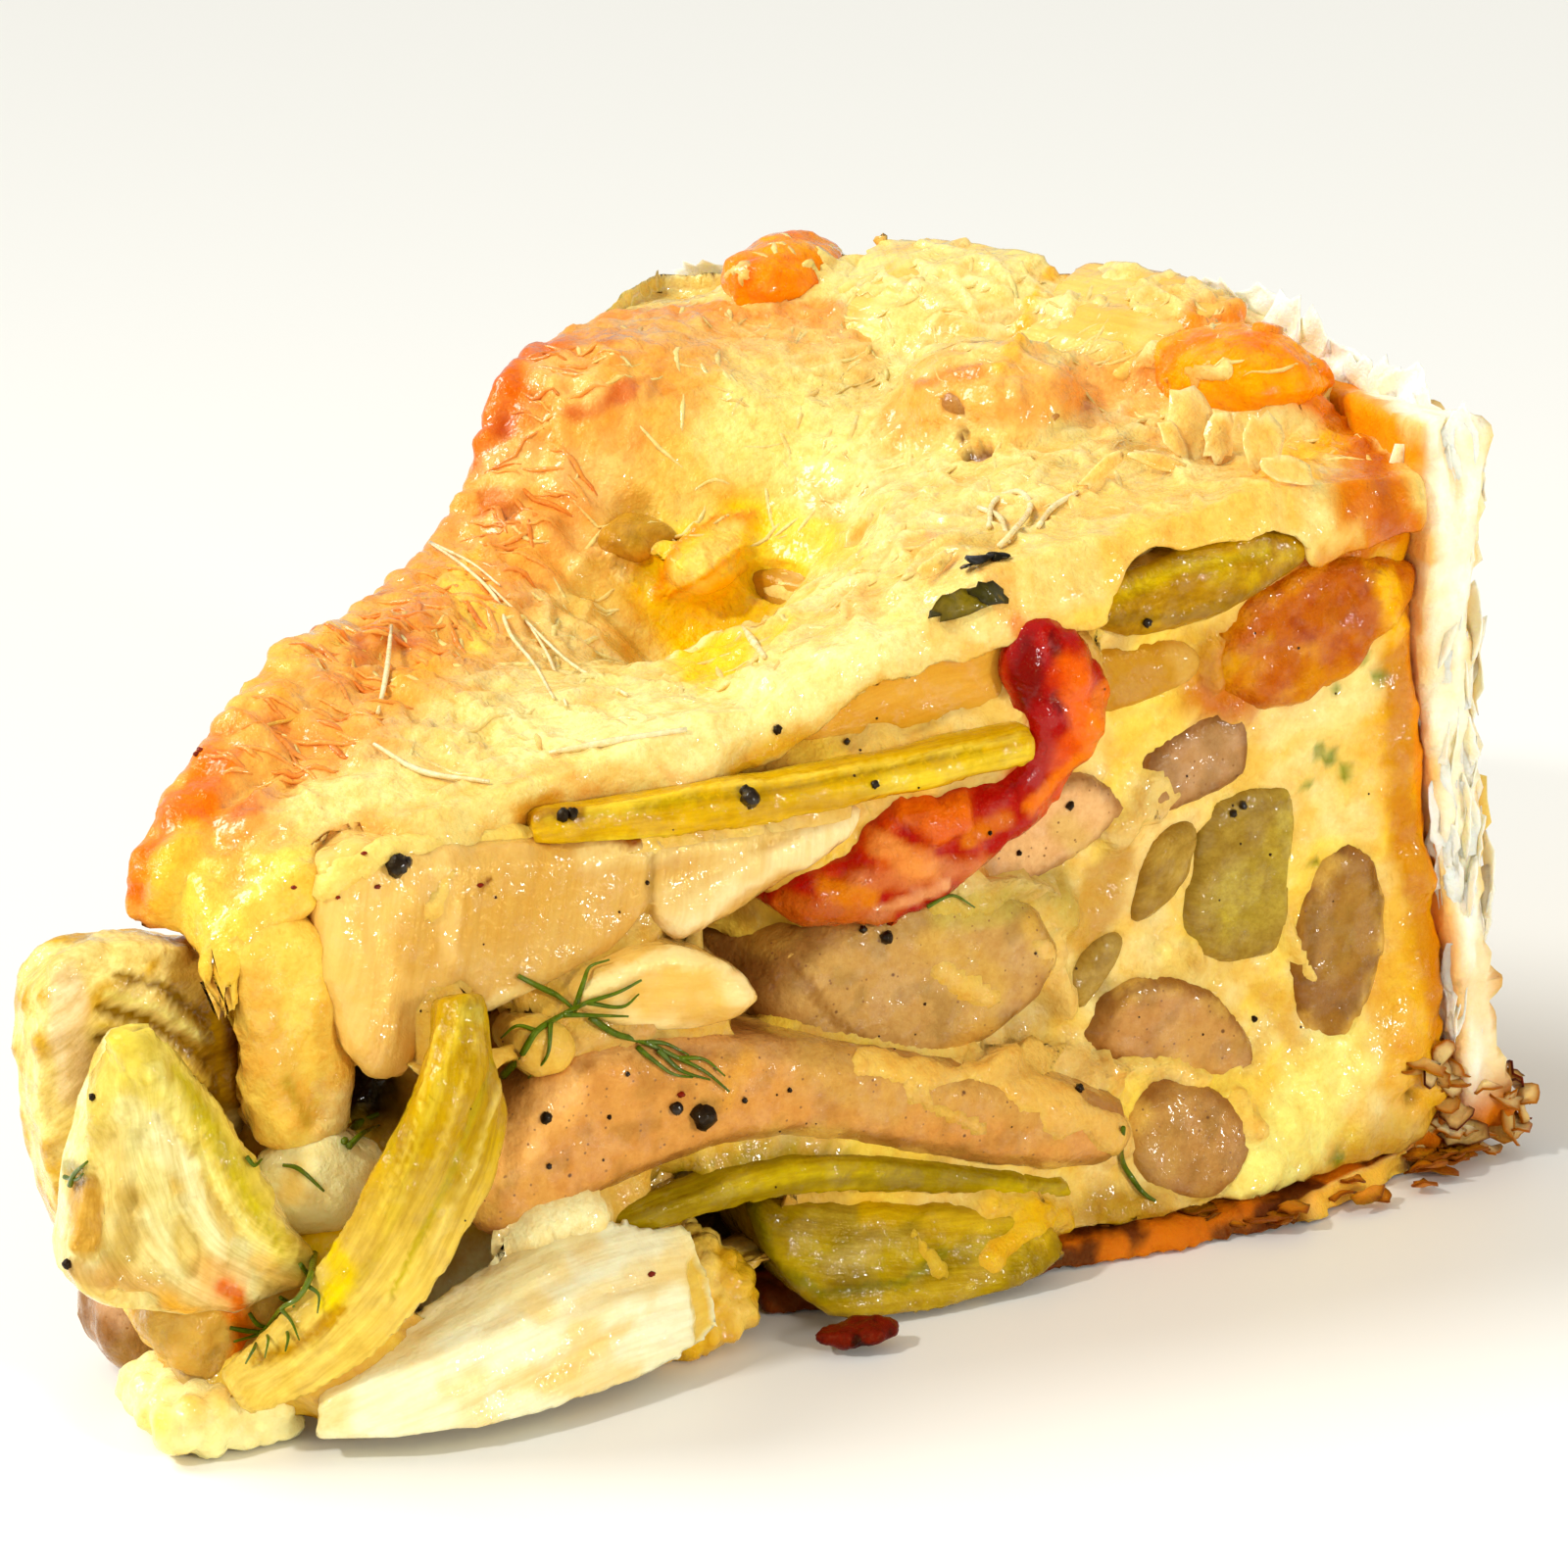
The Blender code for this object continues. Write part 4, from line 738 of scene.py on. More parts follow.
print("Cutting the sausages")
sausage = {
    "grid": 0.6,
    "rim": (146, 94, 52),
    "colours": {
        "sausage_round_big": (204, 158, 92), "sausage_round_mid": (203, 148, 88),
        "sausage_round_low": (188, 138, 80), "sausage_oval": (156, 107, 54), "sausage_long": (222, 156, 82),
        "sausage_upper_left": (238, 188, 128), "sausage_upper_right": (192, 145, 98),
        "sausage_tip": (176, 130, 88), "sausage_top": (228, 166, 90)},
    "smear": (232, 186, 92),
    "finish": {
        "mottle": [(1.4, 0.4, (226, 200, 168)), (0.5, 0.3, (230, 204, 176))],
        "specks": [(0.55, 0.26, 0.26, (146, 98, 54)), (1.1, 0.16, 0.2, (112, 68, 34)),
                   (2.2, 0.08, 0.12, (70, 40, 20))],
        "roughness": (0.5, 0.18), "coat": 0.16, "coatRoughness": 0.08, "glow": 0.06, "glowDepth": 1.0,
        "bumps": [(1.0, 0.2, "all"), (0.4, 0.1, "all")]},
    "strokes": {
        "sausage_round_big": [
            ([(67.8, 27.5), (72.4, 22.6), (71.5, 19.3)], 3.0, (216, 170, 84), 0.75, 0.15),
            ([(67.8, 30.0), (75.0, 29.4)], 2.2, (196, 172, 84), 0.8, 0.2),
            ([(75.9, 28.0), (78.3, 23.4)], 1.6, (222, 176, 80), 0.7, 0.2),
            ([(54.7, 27.4), (58.2, 22.2), (62.6, 18.6), (68.0, 16.6), (74.3, 17.1)], 0.55, (140, 90, 46),
             0.7, 0.0)],
        "sausage_long": [
            ([(27.4, 14.0), (30.0, 16.0), (34.6, 20.2)], 2.8, (255, 192, 108), 0.85, 0.1),
            ([(33.4, 23.3), (45.2, 22.6), (53.8, 19.6)], 1.6, (236, 178, 104), 0.6, 0.2),
            ([(56.4, 18.3), (62.6, 15.6), (71.6, 14.1), (78.9, 11.2)], 3.6, (210, 160, 84), 0.75, 0.2),
            ([(48.6, 17.1), (50.3, 20.1)], 1.3, (232, 170, 70), 0.6, 0.2),
            ([(26.6, 14.1), (27.0, 12.0)], 1.0, (206, 120, 60), 0.6, 0.0)],
        "sausage_oval": [
            ([(108.6, 27.5), (110.4, 21.1), (108.2, 14.4)], 0.8, (120, 74, 30), 0.7, 0.0),
            ([(103.0, 24.9), (102.7, 18.8)], 0.8, (120, 76, 34), 0.6, 0.0)],
        "sausage_upper_left": [
            ([(78.5, 36.0), (81.3, 33.1)], 1.6, (222, 180, 100), 0.7, 0.2)],
        "sausage_upper_right": [
            ([(95.9, 42.5), (95.7, 37.9)], 0.5, (140, 92, 52), 0.8, 0.0)],
        "sausage_round_mid": [
            ([(82.5, 17.6), (85.2, 20.2), (89.9, 20.7), (94.6, 18.3), (97.7, 13.0)], 0.6, (150, 98, 52),
             0.75, 0.0),
            ([(89.1, 13.5), (91.5, 11.8)], 1.4, (238, 190, 96), 0.7, 0.3)],
        "sausage_tip": [
            ([(-3.2, 8.8), (-1.7, 7.3)], 1.4, (220, 180, 140), 0.6, 0.2),
            ([(-0.3, 2.5), (1.6, 3.0)], 1.6, (150, 130, 90), 0.7, 0.0)],
    },
}
sausageFinish = foodFinish("cut sausage", sausage["finish"])


def makeSausages():
    for number, (node, shade) in enumerate(sausage["colours"].items()):
        piece = denseCopy(node + "_cut", [node], sausage["grid"], 1)
        at, facing = pointsOf(piece), normalsOf(piece)
        cutFace = ramp(0.55, 0.9, np.maximum(facing @ outOfCut, facing @ outOfBack))
        inner = blurred(cutFace, neighbours(piece), 5)
        pores = ramp(0.5, 0.8, pebbles(at, 1.1, 95 + number)) * cutFace
        lift = 0.12 * unevenness(at, 2.6, 90 + number) - 0.14 * pores
        colour = np.tile(paint(*shade), (len(at), 1))
        colour = blendIn(colour, paint(*sausage["rim"]), 0.7 * ramp(0.97, 0.55, inner))
        colour = colour * (1.0 - 0.22 * ramp(0.0, 0.6, unevenness(at, 1.8, 97 + number)))[:, None]
        film = ramp(0.15, 0.6, unevenness(at, 5.0, 99 + number)) * ramp(1.0, 0.6, inner)
        thin = ramp(0.1, 0.6, unevenness(at, 7.0, 98))
        colour = blendIn(colour, paint(*sausage["smear"]), 0.8 * film + 0.2 * thin)
        colour, rise = touchUp(at, facing, colour, sausage["strokes"].get(node, []))
        movePoints(piece, at + facing * (0.22 + lift + rise + 0.12 * film)[:, None])
        colourIn(piece, colour, 0.3 + 0.6 * ramp(-0.2, 0.6, unevenness(at, 5.0, 103 + number)))
        handOver(piece, "sausage", sausageFinish, node)


makeSausages()

print("Laying in the fennel")
fennel = {
    "grid": 0.5,
    "stretch": 14.0,                  # how much longer than wide its fibres are
    "proud": 0.25,
    "pale": {
        "mottle": [(3.5, 0.18, (240, 210, 150))],
        "fibres": [(0.5, 0.26, (234, 208, 140)), (1.6, 0.16, (240, 212, 150))],
        "roughness": (0.32, 0.1), "coat": 0.2, "coatRoughness": 0.07, "glow": 0.2, "glowDepth": 2.0,
        "bumps": [(0.6, 0.10, "fibre"), (0.9, 0.16, "all")]},
    "green": {
        "mottle": [(2.2, 0.4, (206, 186, 110))],
        "fibres": [(0.4, 0.35, (206, 186, 90)), (1.2, 0.35, (196, 176, 80))],
        "roughness": (0.34, 0.1), "coat": 0.16, "coatRoughness": 0.07, "coatIor": 1.34, "specular": 0.1,
        "glow": 0.14, "glowDepth": 1.5, "glintSize": 1.1, "glintDepth": 0.45,
        "bumps": [(0.45, 0.14, "fibre"), (0.9, 0.16, "all")]},
    # each piece: slot, colour, second colour, where that shows, depth and spacing of its ribs, and the way
    # its fibres run where the shape alone doesn't tell
    "pieces": {
        "fennel_large": ("fennel_pale", (218, 172, 92), (250, 206, 116), "left", 0.10, 1.8, (0.25, 0.0, 1.0)),
        "fennel_bulb_top": ("fennel_pale", (226, 166, 60), (234, 180, 80), "patches", 0.04, 1.5, None),
        "fennel_bulb_right": ("fennel_pale", (198, 143, 50), (212, 164, 78), "patches", 0.04, 1.5, None),
        "fennel_almond": ("fennel_pale", (236, 192, 100), (250, 220, 150), "patches", 0.06, 1.2, None),
        "fennel_knob": ("fennel_pale", (228, 184, 84), (246, 212, 120), "patches", 0.06, 1.2, None),
        "fennel_layer_lower": ("fennel_pale", (255, 250, 208), (252, 228, 160), "patches", 0.16, 1.2, None),
        "fennel_back_left": ("fennel_pale", (244, 222, 134), (244, 196, 100), "patches", 0.12, 1.6, None),
        "fennel_back_right": ("fennel_pale", (244, 206, 112), (244, 190, 90), "patches", 0.12, 1.6, None),
        "onion_slice": ("fennel_pale", (252, 200, 60), (250, 190, 40), "patches", 0.08, 1.4, None),
        "fennel_block": ("fennel_green", (174, 142, 66), (190, 164, 70), "patches", 0.03, 1.8, None),
        "fennel_wedge": ("fennel_green", (174, 137, 66), (190, 154, 76), "patches", 0.03, 1.5, None),
        "fennel_bit": ("fennel_green", (168, 136, 70), (184, 150, 76), "patches", 0.03, 1.5, None),
        "fennel_stalk_top": ("fennel_green", (186, 138, 0), (208, 168, 6), "stripes", 0.16, 1.5, None),
        "fennel_stalk_yellow": ("fennel_green", (226, 178, 24), (238, 204, 60), "stripes", 0.18, 1.1, None),
        "fennel_stalk_green": ("fennel_green", (164, 138, 0), (204, 176, 14), "stripes", 0.16, 1.2, None),
        "fennel_stalk_curved": ("fennel_green", (198, 156, 10), (252, 218, 104), "low", 0.20, 1.3, None),
        "fennel_left": ("fennel_green", (255, 246, 182), (248, 216, 120), "patches", 0.10, 1.8, None),
        "fennel_far_left": ("fennel_green", (255, 228, 140), (224, 178, 66), "stripes", 0.16, 1.6,
                            (0.5, -0.5, 0.55)),
        "fennel_lower": ("fennel_green", (160, 132, 12), (192, 162, 44), "patches", 0.08, 2.4, None),
        "fennel_speck": ("fennel_green", (204, 150, 56), (176, 134, 46), "patches", 0.05, 1.2, None)},
    "strokes": {
        "fennel_large": [
            ([(16.0, 40.0), (17.3, 31.8), (19.5, 25.5)], 4.0, (248, 204, 112), 0.8, 0.4),
            ([(23.0, 34.2), (33.6, 37.4)], 4.0, (214, 162, 74), 0.7, 0.0),
            ([(43.6, 31.9), (48.7, 35.3), (60.7, 38.9)], 1.8, (252, 232, 176), 0.85, 0.5),
            ([(44.4, 34.7), (50.4, 37.5)], 2.6, (232, 200, 126), 0.75, 0.2),
            ([(37.0, 39.4), (45.3, 38.8), (53.8, 39.0)], 1.6, (236, 206, 132), 0.7, 0.3),
            ([(41.9, 32.2), (42.4, 37.8)], 0.5, (176, 130, 54), 0.7, -0.4),
            ([(26.0, 25.7), (28.6, 28.5), (37.7, 28.7), (42.7, 31.6)], 0.7, (250, 226, 150), 0.7, 0.2),
            ([(32.5, 41.1), (37.0, 40.8), (40.7, 39.5)], 0.75, (140, 62, 8), 0.95, 0.2),
            ([(24.7, 40.3), (25.4, 32.2)], 1.2, (250, 212, 130), 0.5, 0.3),
            ([(27.9, 37.8), (28.7, 38.5)], 0.25, (110, 30, 6), 0.9, 0.0)],
        "fennel_layer_lower": [
            ([(11.4, -3.1), (21.4, 1.7), (33.1, 5.4)], 2.6, (254, 240, 176), 0.7, 0.2),
            ([(36.5, 1.4), (44.2, 3.4)], 2.4, (244, 216, 140), 0.6, 0.0),
            ([(46.5, 3.0), (47.1, -1.8), (46.6, -6.1)], 1.8, (236, 196, 76), 0.95, -0.6),
            ([(33.0, -4.7), (39.9, -0.9)], 1.4, (240, 200, 90), 0.5, 0.0),
            ([(44.2, 6.8), (46.4, 4.3)], 0.8, (254, 240, 180), 0.6, 0.3)],
        "fennel_stalk_curved": [
            ([(26.1, 27.3), (22.6, 18.1), (19.1, 9.6), (13.2, 2.4)], 0.6, (226, 196, 70), 0.7, 0.3),
            ([(15.1, 11.0), (16.0, 7.7), (14.8, 5.6)], 1.3, (255, 224, 0), 0.9, 0.0),
            ([(8.5, 1.8), (11.6, 2.4), (15.7, 4.9)], 0.8, (196, 140, 16), 0.85, -0.2),
            ([(28.5, 23.6), (25.0, 14.4), (19.8, 5.4)], 0.4, (190, 166, 20), 0.8, -0.2),
            ([(24.4, 26.7), (22.2, 19.0), (18.3, 10.6)], 0.3, (238, 206, 84), 0.8, 0.2),
            ([(29.7, 23.9), (26.6, 14.9), (21.5, 5.9)], 0.3, (244, 216, 110), 0.8, 0.2),
            ([(27.3, 25.5), (23.8, 16.2), (18.7, 7.2)], 0.3, (240, 206, 90), 0.6, 0.1),
            ([(23.6, 26.1), (20.1, 16.9)], 0.4, (190, 168, 40), 0.6, -0.2),
            ([(26.5, 28.0), (28.5, 26.9)], 1.0, (214, 196, 90), 0.6, 0.0)],
        "fennel_stalk_yellow": [
            ([(32.5, 42.8), (36.2, 42.5)], 1.0, (150, 92, 16), 0.8, 0.0),
            ([(41.1, 42.4), (53.8, 42.3), (71.2, 43.2)], 0.35, (176, 142, 20), 0.7, -0.2),
            ([(45.3, 42.9), (62.4, 43.2), (74.7, 43.8)], 0.4, (246, 214, 84), 0.7, 0.2)],
        "fennel_stalk_top": [
            ([(82.6, 54.4), (88.9, 56.1), (97.1, 56.8)], 0.9, (220, 186, 30), 0.85, -0.7),
            ([(81.7, 53.0), (89.0, 52.2), (97.2, 53.7), (100.1, 55.8)], 0.7, (150, 112, 4), 0.7, 0.2),
            ([(84.4, 56.0), (93.4, 58.2), (99.7, 58.0)], 0.6, (164, 128, 6), 0.7, 0.2)],
        "fennel_block": [
            ([(94.9, 26.0)], 1.2, (208, 184, 70), 0.6, 0.0), ([(97.1, 28.3)], 1.0, (206, 180, 66), 0.6, 0.0),
            ([(99.0, 30.6), (98.4, 32.4)], 1.0, (204, 176, 74), 0.6, 0.0),
            ([(96.5, 34.4), (100.7, 35.1)], 0.8, (150, 118, 44), 0.6, 0.0)],
        "fennel_left": [
            ([(-1.0, 28.0), (-2.7, 23.1), (-4.4, 13.9)], 1.7, (232, 206, 100), 0.9, 1.0),
            ([(0.7, 28.1), (3.6, 23.7), (7.3, 16.6), (11.8, 9.3)], 2.0, (246, 222, 96), 0.9, 1.3),
            ([(2.5, 25.4), (6.2, 19.2), (10.7, 11.6)], 0.5, (214, 188, 60), 0.7, 0.3),
            ([(-0.5, 27.9), (0.6, 25.0)], 1.2, (242, 222, 90), 0.8, 0.4),
            ([(-1.9, 20.6), (-2.9, 15.2), (-0.1, 9.0)], 3.2, (248, 224, 140), 0.85, -1.6),
            ([(2.9, 15.8), (3.9, 10.7)], 1.6, (250, 226, 132), 0.8, -1.0),
            ([(1.8, 26.7), (5.1, 21.0), (10.3, 11.2)], 0.4, (206, 186, 40), 0.8, -0.2),
            ([(0.7, 26.9), (3.9, 20.8), (8.8, 11.1)], 0.4, (255, 246, 150), 0.8, 0.2),
            ([(-0.6, 24.4), (0.3, 19.4), (1.8, 15.6)], 1.3, (255, 246, 170), 0.9, 0.3),
            ([(1.2, 21.7), (3.1, 19.0), (4.3, 15.1), (5.7, 11.2)], 1.3, (255, 250, 196), 0.75, 0.9),
            ([(-0.9, 16.5), (-1.5, 11.7)], 1.2, (214, 176, 80), 0.7, -0.4),
            ([(-3.1, 11.2), (1.5, 8.3)], 1.4, (230, 182, 100), 0.8, 0.9),
            ([(-5.4, 20.4), (-4.3, 18.6)], 0.9, (120, 112, 40), 0.6, 0.0),
            ([(-5.4, 12.4), (-3.1, 10.4)], 1.0, (200, 150, 80), 0.7, 0.3),
            ([(5.1, 9.7), (7.7, 5.5)], 2.8, (250, 166, 50), 0.6, 0.0),
            ([(5.9, 8.6), (7.0, 7.6), (7.7, 5.5)], 1.1, (244, 108, 0), 0.85, 0.0),
            ([(-5.0, 18.4), (-4.5, 13.9)], 1.8, (210, 158, 66), 0.9, -0.4),
            ([(1.4, 7.5), (4.9, 5.6)], 1.6, (250, 188, 60), 0.9, 0.0),
            ([(8.8, 10.3), (11.0, 8.0)], 1.2, (250, 206, 100), 0.8, 0.3)],
        "fennel_far_left": [
            ([(-5.8, 36.2), (-2.0, 37.4), (3.7, 36.1)], 1.0, (246, 222, 140), 0.9, 0.7),
            ([(-5.3, 34.5), (-4.9, 26.7)], 1.8, (255, 226, 176), 0.9, 0.0),
            ([(4.1, 35.1), (5.1, 31.4), (5.5, 23.4)], 2.0, (196, 150, 56), 0.8, 0.0),
            # painted highlights: the pale stripes standing up on the ribs below stand in for glints along
            # them
            ([(-1.3, 35.1), (2.1, 33.6), (5.4, 30.5)], 0.45, (158, 116, 8), 0.95, -0.3),
            ([(-2.5, 34.0), (1.6, 32.2), (5.5, 28.8)], 0.4, (255, 240, 140), 0.95, 0.3),
            ([(-2.9, 32.8), (1.2, 30.9), (5.3, 27.1)], 0.5, (152, 110, 4), 0.95, -0.3),
            ([(-3.1, 31.6), (1.1, 29.6), (5.4, 25.4)], 0.4, (248, 214, 90), 0.95, 0.3),
            ([(-3.2, 30.5), (1.5, 28.2), (5.5, 24.0)], 0.5, (146, 104, 2), 0.95, -0.3),
            ([(-2.8, 29.1), (1.8, 26.8), (5.5, 22.7)], 0.4, (248, 214, 100), 0.95, 0.3),
            ([(7.6, 33.3), (7.5, 27.8), (7.9, 21.0)], 1.5, (92, 46, 4), 0.95, 0.8),
            ([(5.6, 31.3), (6.3, 24.0)], 1.0, (168, 124, 20), 0.8, 0.0)],
        "fennel_lower": [
            ([(53.8, 9.4), (65.4, 6.6), (75.4, 4.4)], 2.0, (150, 130, 8), 0.7, 0.2),
            ([(51.2, 7.3), (52.9, 1.8), (57.3, -1.6), (64.5, -2.0), (68.1, -0.0)], 0.7, (128, 124, 6), 0.7,
             0.3),
            ([(55.6, 4.8), (59.1, 5.1), (65.4, 2.2)], 2.2, (190, 160, 64), 0.7, 0.3),
            ([(61.3, 4.7), (68.1, 3.6)], 1.4, (220, 176, 20), 0.85, 0.2),
            ([(52.0, -0.6), (55.6, -3.0)], 1.4, (176, 142, 34), 0.8, 0.2),
            ([(67.2, 2.8), (75.4, 2.2), (77.3, 0.1)], 2.4, (214, 176, 52), 0.8, 0.4),
            ([(57.4, -3.3), (65.4, -3.9), (73.6, -1.9)], 1.6, (206, 172, 60), 0.7, 0.2),
            ([(49.4, 1.6), (52.9, -3.3)], 1.6, (120, 104, 16), 0.6, 0.0),
            ([(58.2, 0.9), (61.8, 1.5)], 1.4, (206, 178, 96), 0.6, 0.3)],
        "fennel_almond": [
            ([(36.8, 28.0), (43.6, 29.9), (48.6, 28.3)], 0.8, (252, 232, 164), 0.7, 0.2),
            ([(45.2, 24.3), (50.3, 24.3)], 0.8, (216, 166, 80), 0.6, 0.0)],
        "fennel_bulb_top": [
            ([(74.2, 51.5), (74.5, 44.9)], 0.4, (190, 130, 40), 0.6, 0.0),
            ([(60.7, 48.3), (71.1, 48.6)], 1.6, (232, 176, 76), 0.5, 0.1)],
        "onion_slice": [
            ([(45.9, 60.4), (49.4, 63.5)], 2.0, (255, 214, 110), 0.9, 0.0),
            ([(42.9, 59.3), (45.1, 63.1), (48.1, 64.8), (51.1, 64.8)], 0.5, (238, 146, 0), 0.95, 0.4),
            ([(51.1, 64.7), (50.2, 62.2), (46.9, 60.3), (43.1, 59.3)], 0.4, (246, 170, 10), 0.9, 0.2)],
    },
}
fennelFinish = {"fennel_pale": foodFinish("pale fennel", fennel["pale"]),
                "fennel_green": foodFinish("green fennel", fennel["green"])}


def makeFennel():
    for number, (node, look) in enumerate(fennel["pieces"].items()):
        slot, main, second, where, ribDepth, ribGap, direction = look
        piece = denseCopy(node + "_soft", [node], fennel["grid"], 2)
        at, facing = pointsOf(piece), normalsOf(piece)
        run, across = spineOf(at, direction)
        squeezed = giveFibres(piece, run, across, fennel["stretch"])
        ribs = swells(squeezed, ribGap, 120 + number) + 0.5 * swells(squeezed, ribGap * 0.5, 130 + number)
        middle = 1.0 - ramp(0.80, 0.98, np.abs(run) / (np.abs(run).max() + 1e-9))
        lift = ribDepth * 1.6 * ribs * middle + 0.14 * unevenness(at, 3.5, 140 + number)
        colour = np.tile(paint(*main), (len(at), 1))
        if where == "low":
            low, high = at[:, 2].min(), at[:, 2].max()
            share = ramp(low + 0.75 * (high - low), low + 0.25 * (high - low), at[:, 2])
        elif where == "left":
            share = ramp(30, 18, brushPlace(at)[0])
        elif where == "stripes":
            share = ramp(0.0, 0.5, ribs)
        else:
            share = ramp(-0.1, 0.6, unevenness(at, 4.5, 150 + number))
        colour = blendIn(colour, paint(*second), share)
        colour, rise = touchUp(at, facing, colour, fennel["strokes"].get(node, []))
        movePoints(piece, at + facing * (fennel["proud"] + lift + rise)[:, None])
        colourIn(piece, colour, 0.55 + 0.4 * unevenness(at, 5.0, 160 + number))
        handOver(piece, slot, fennelFinish[slot], node)


makeFennel()

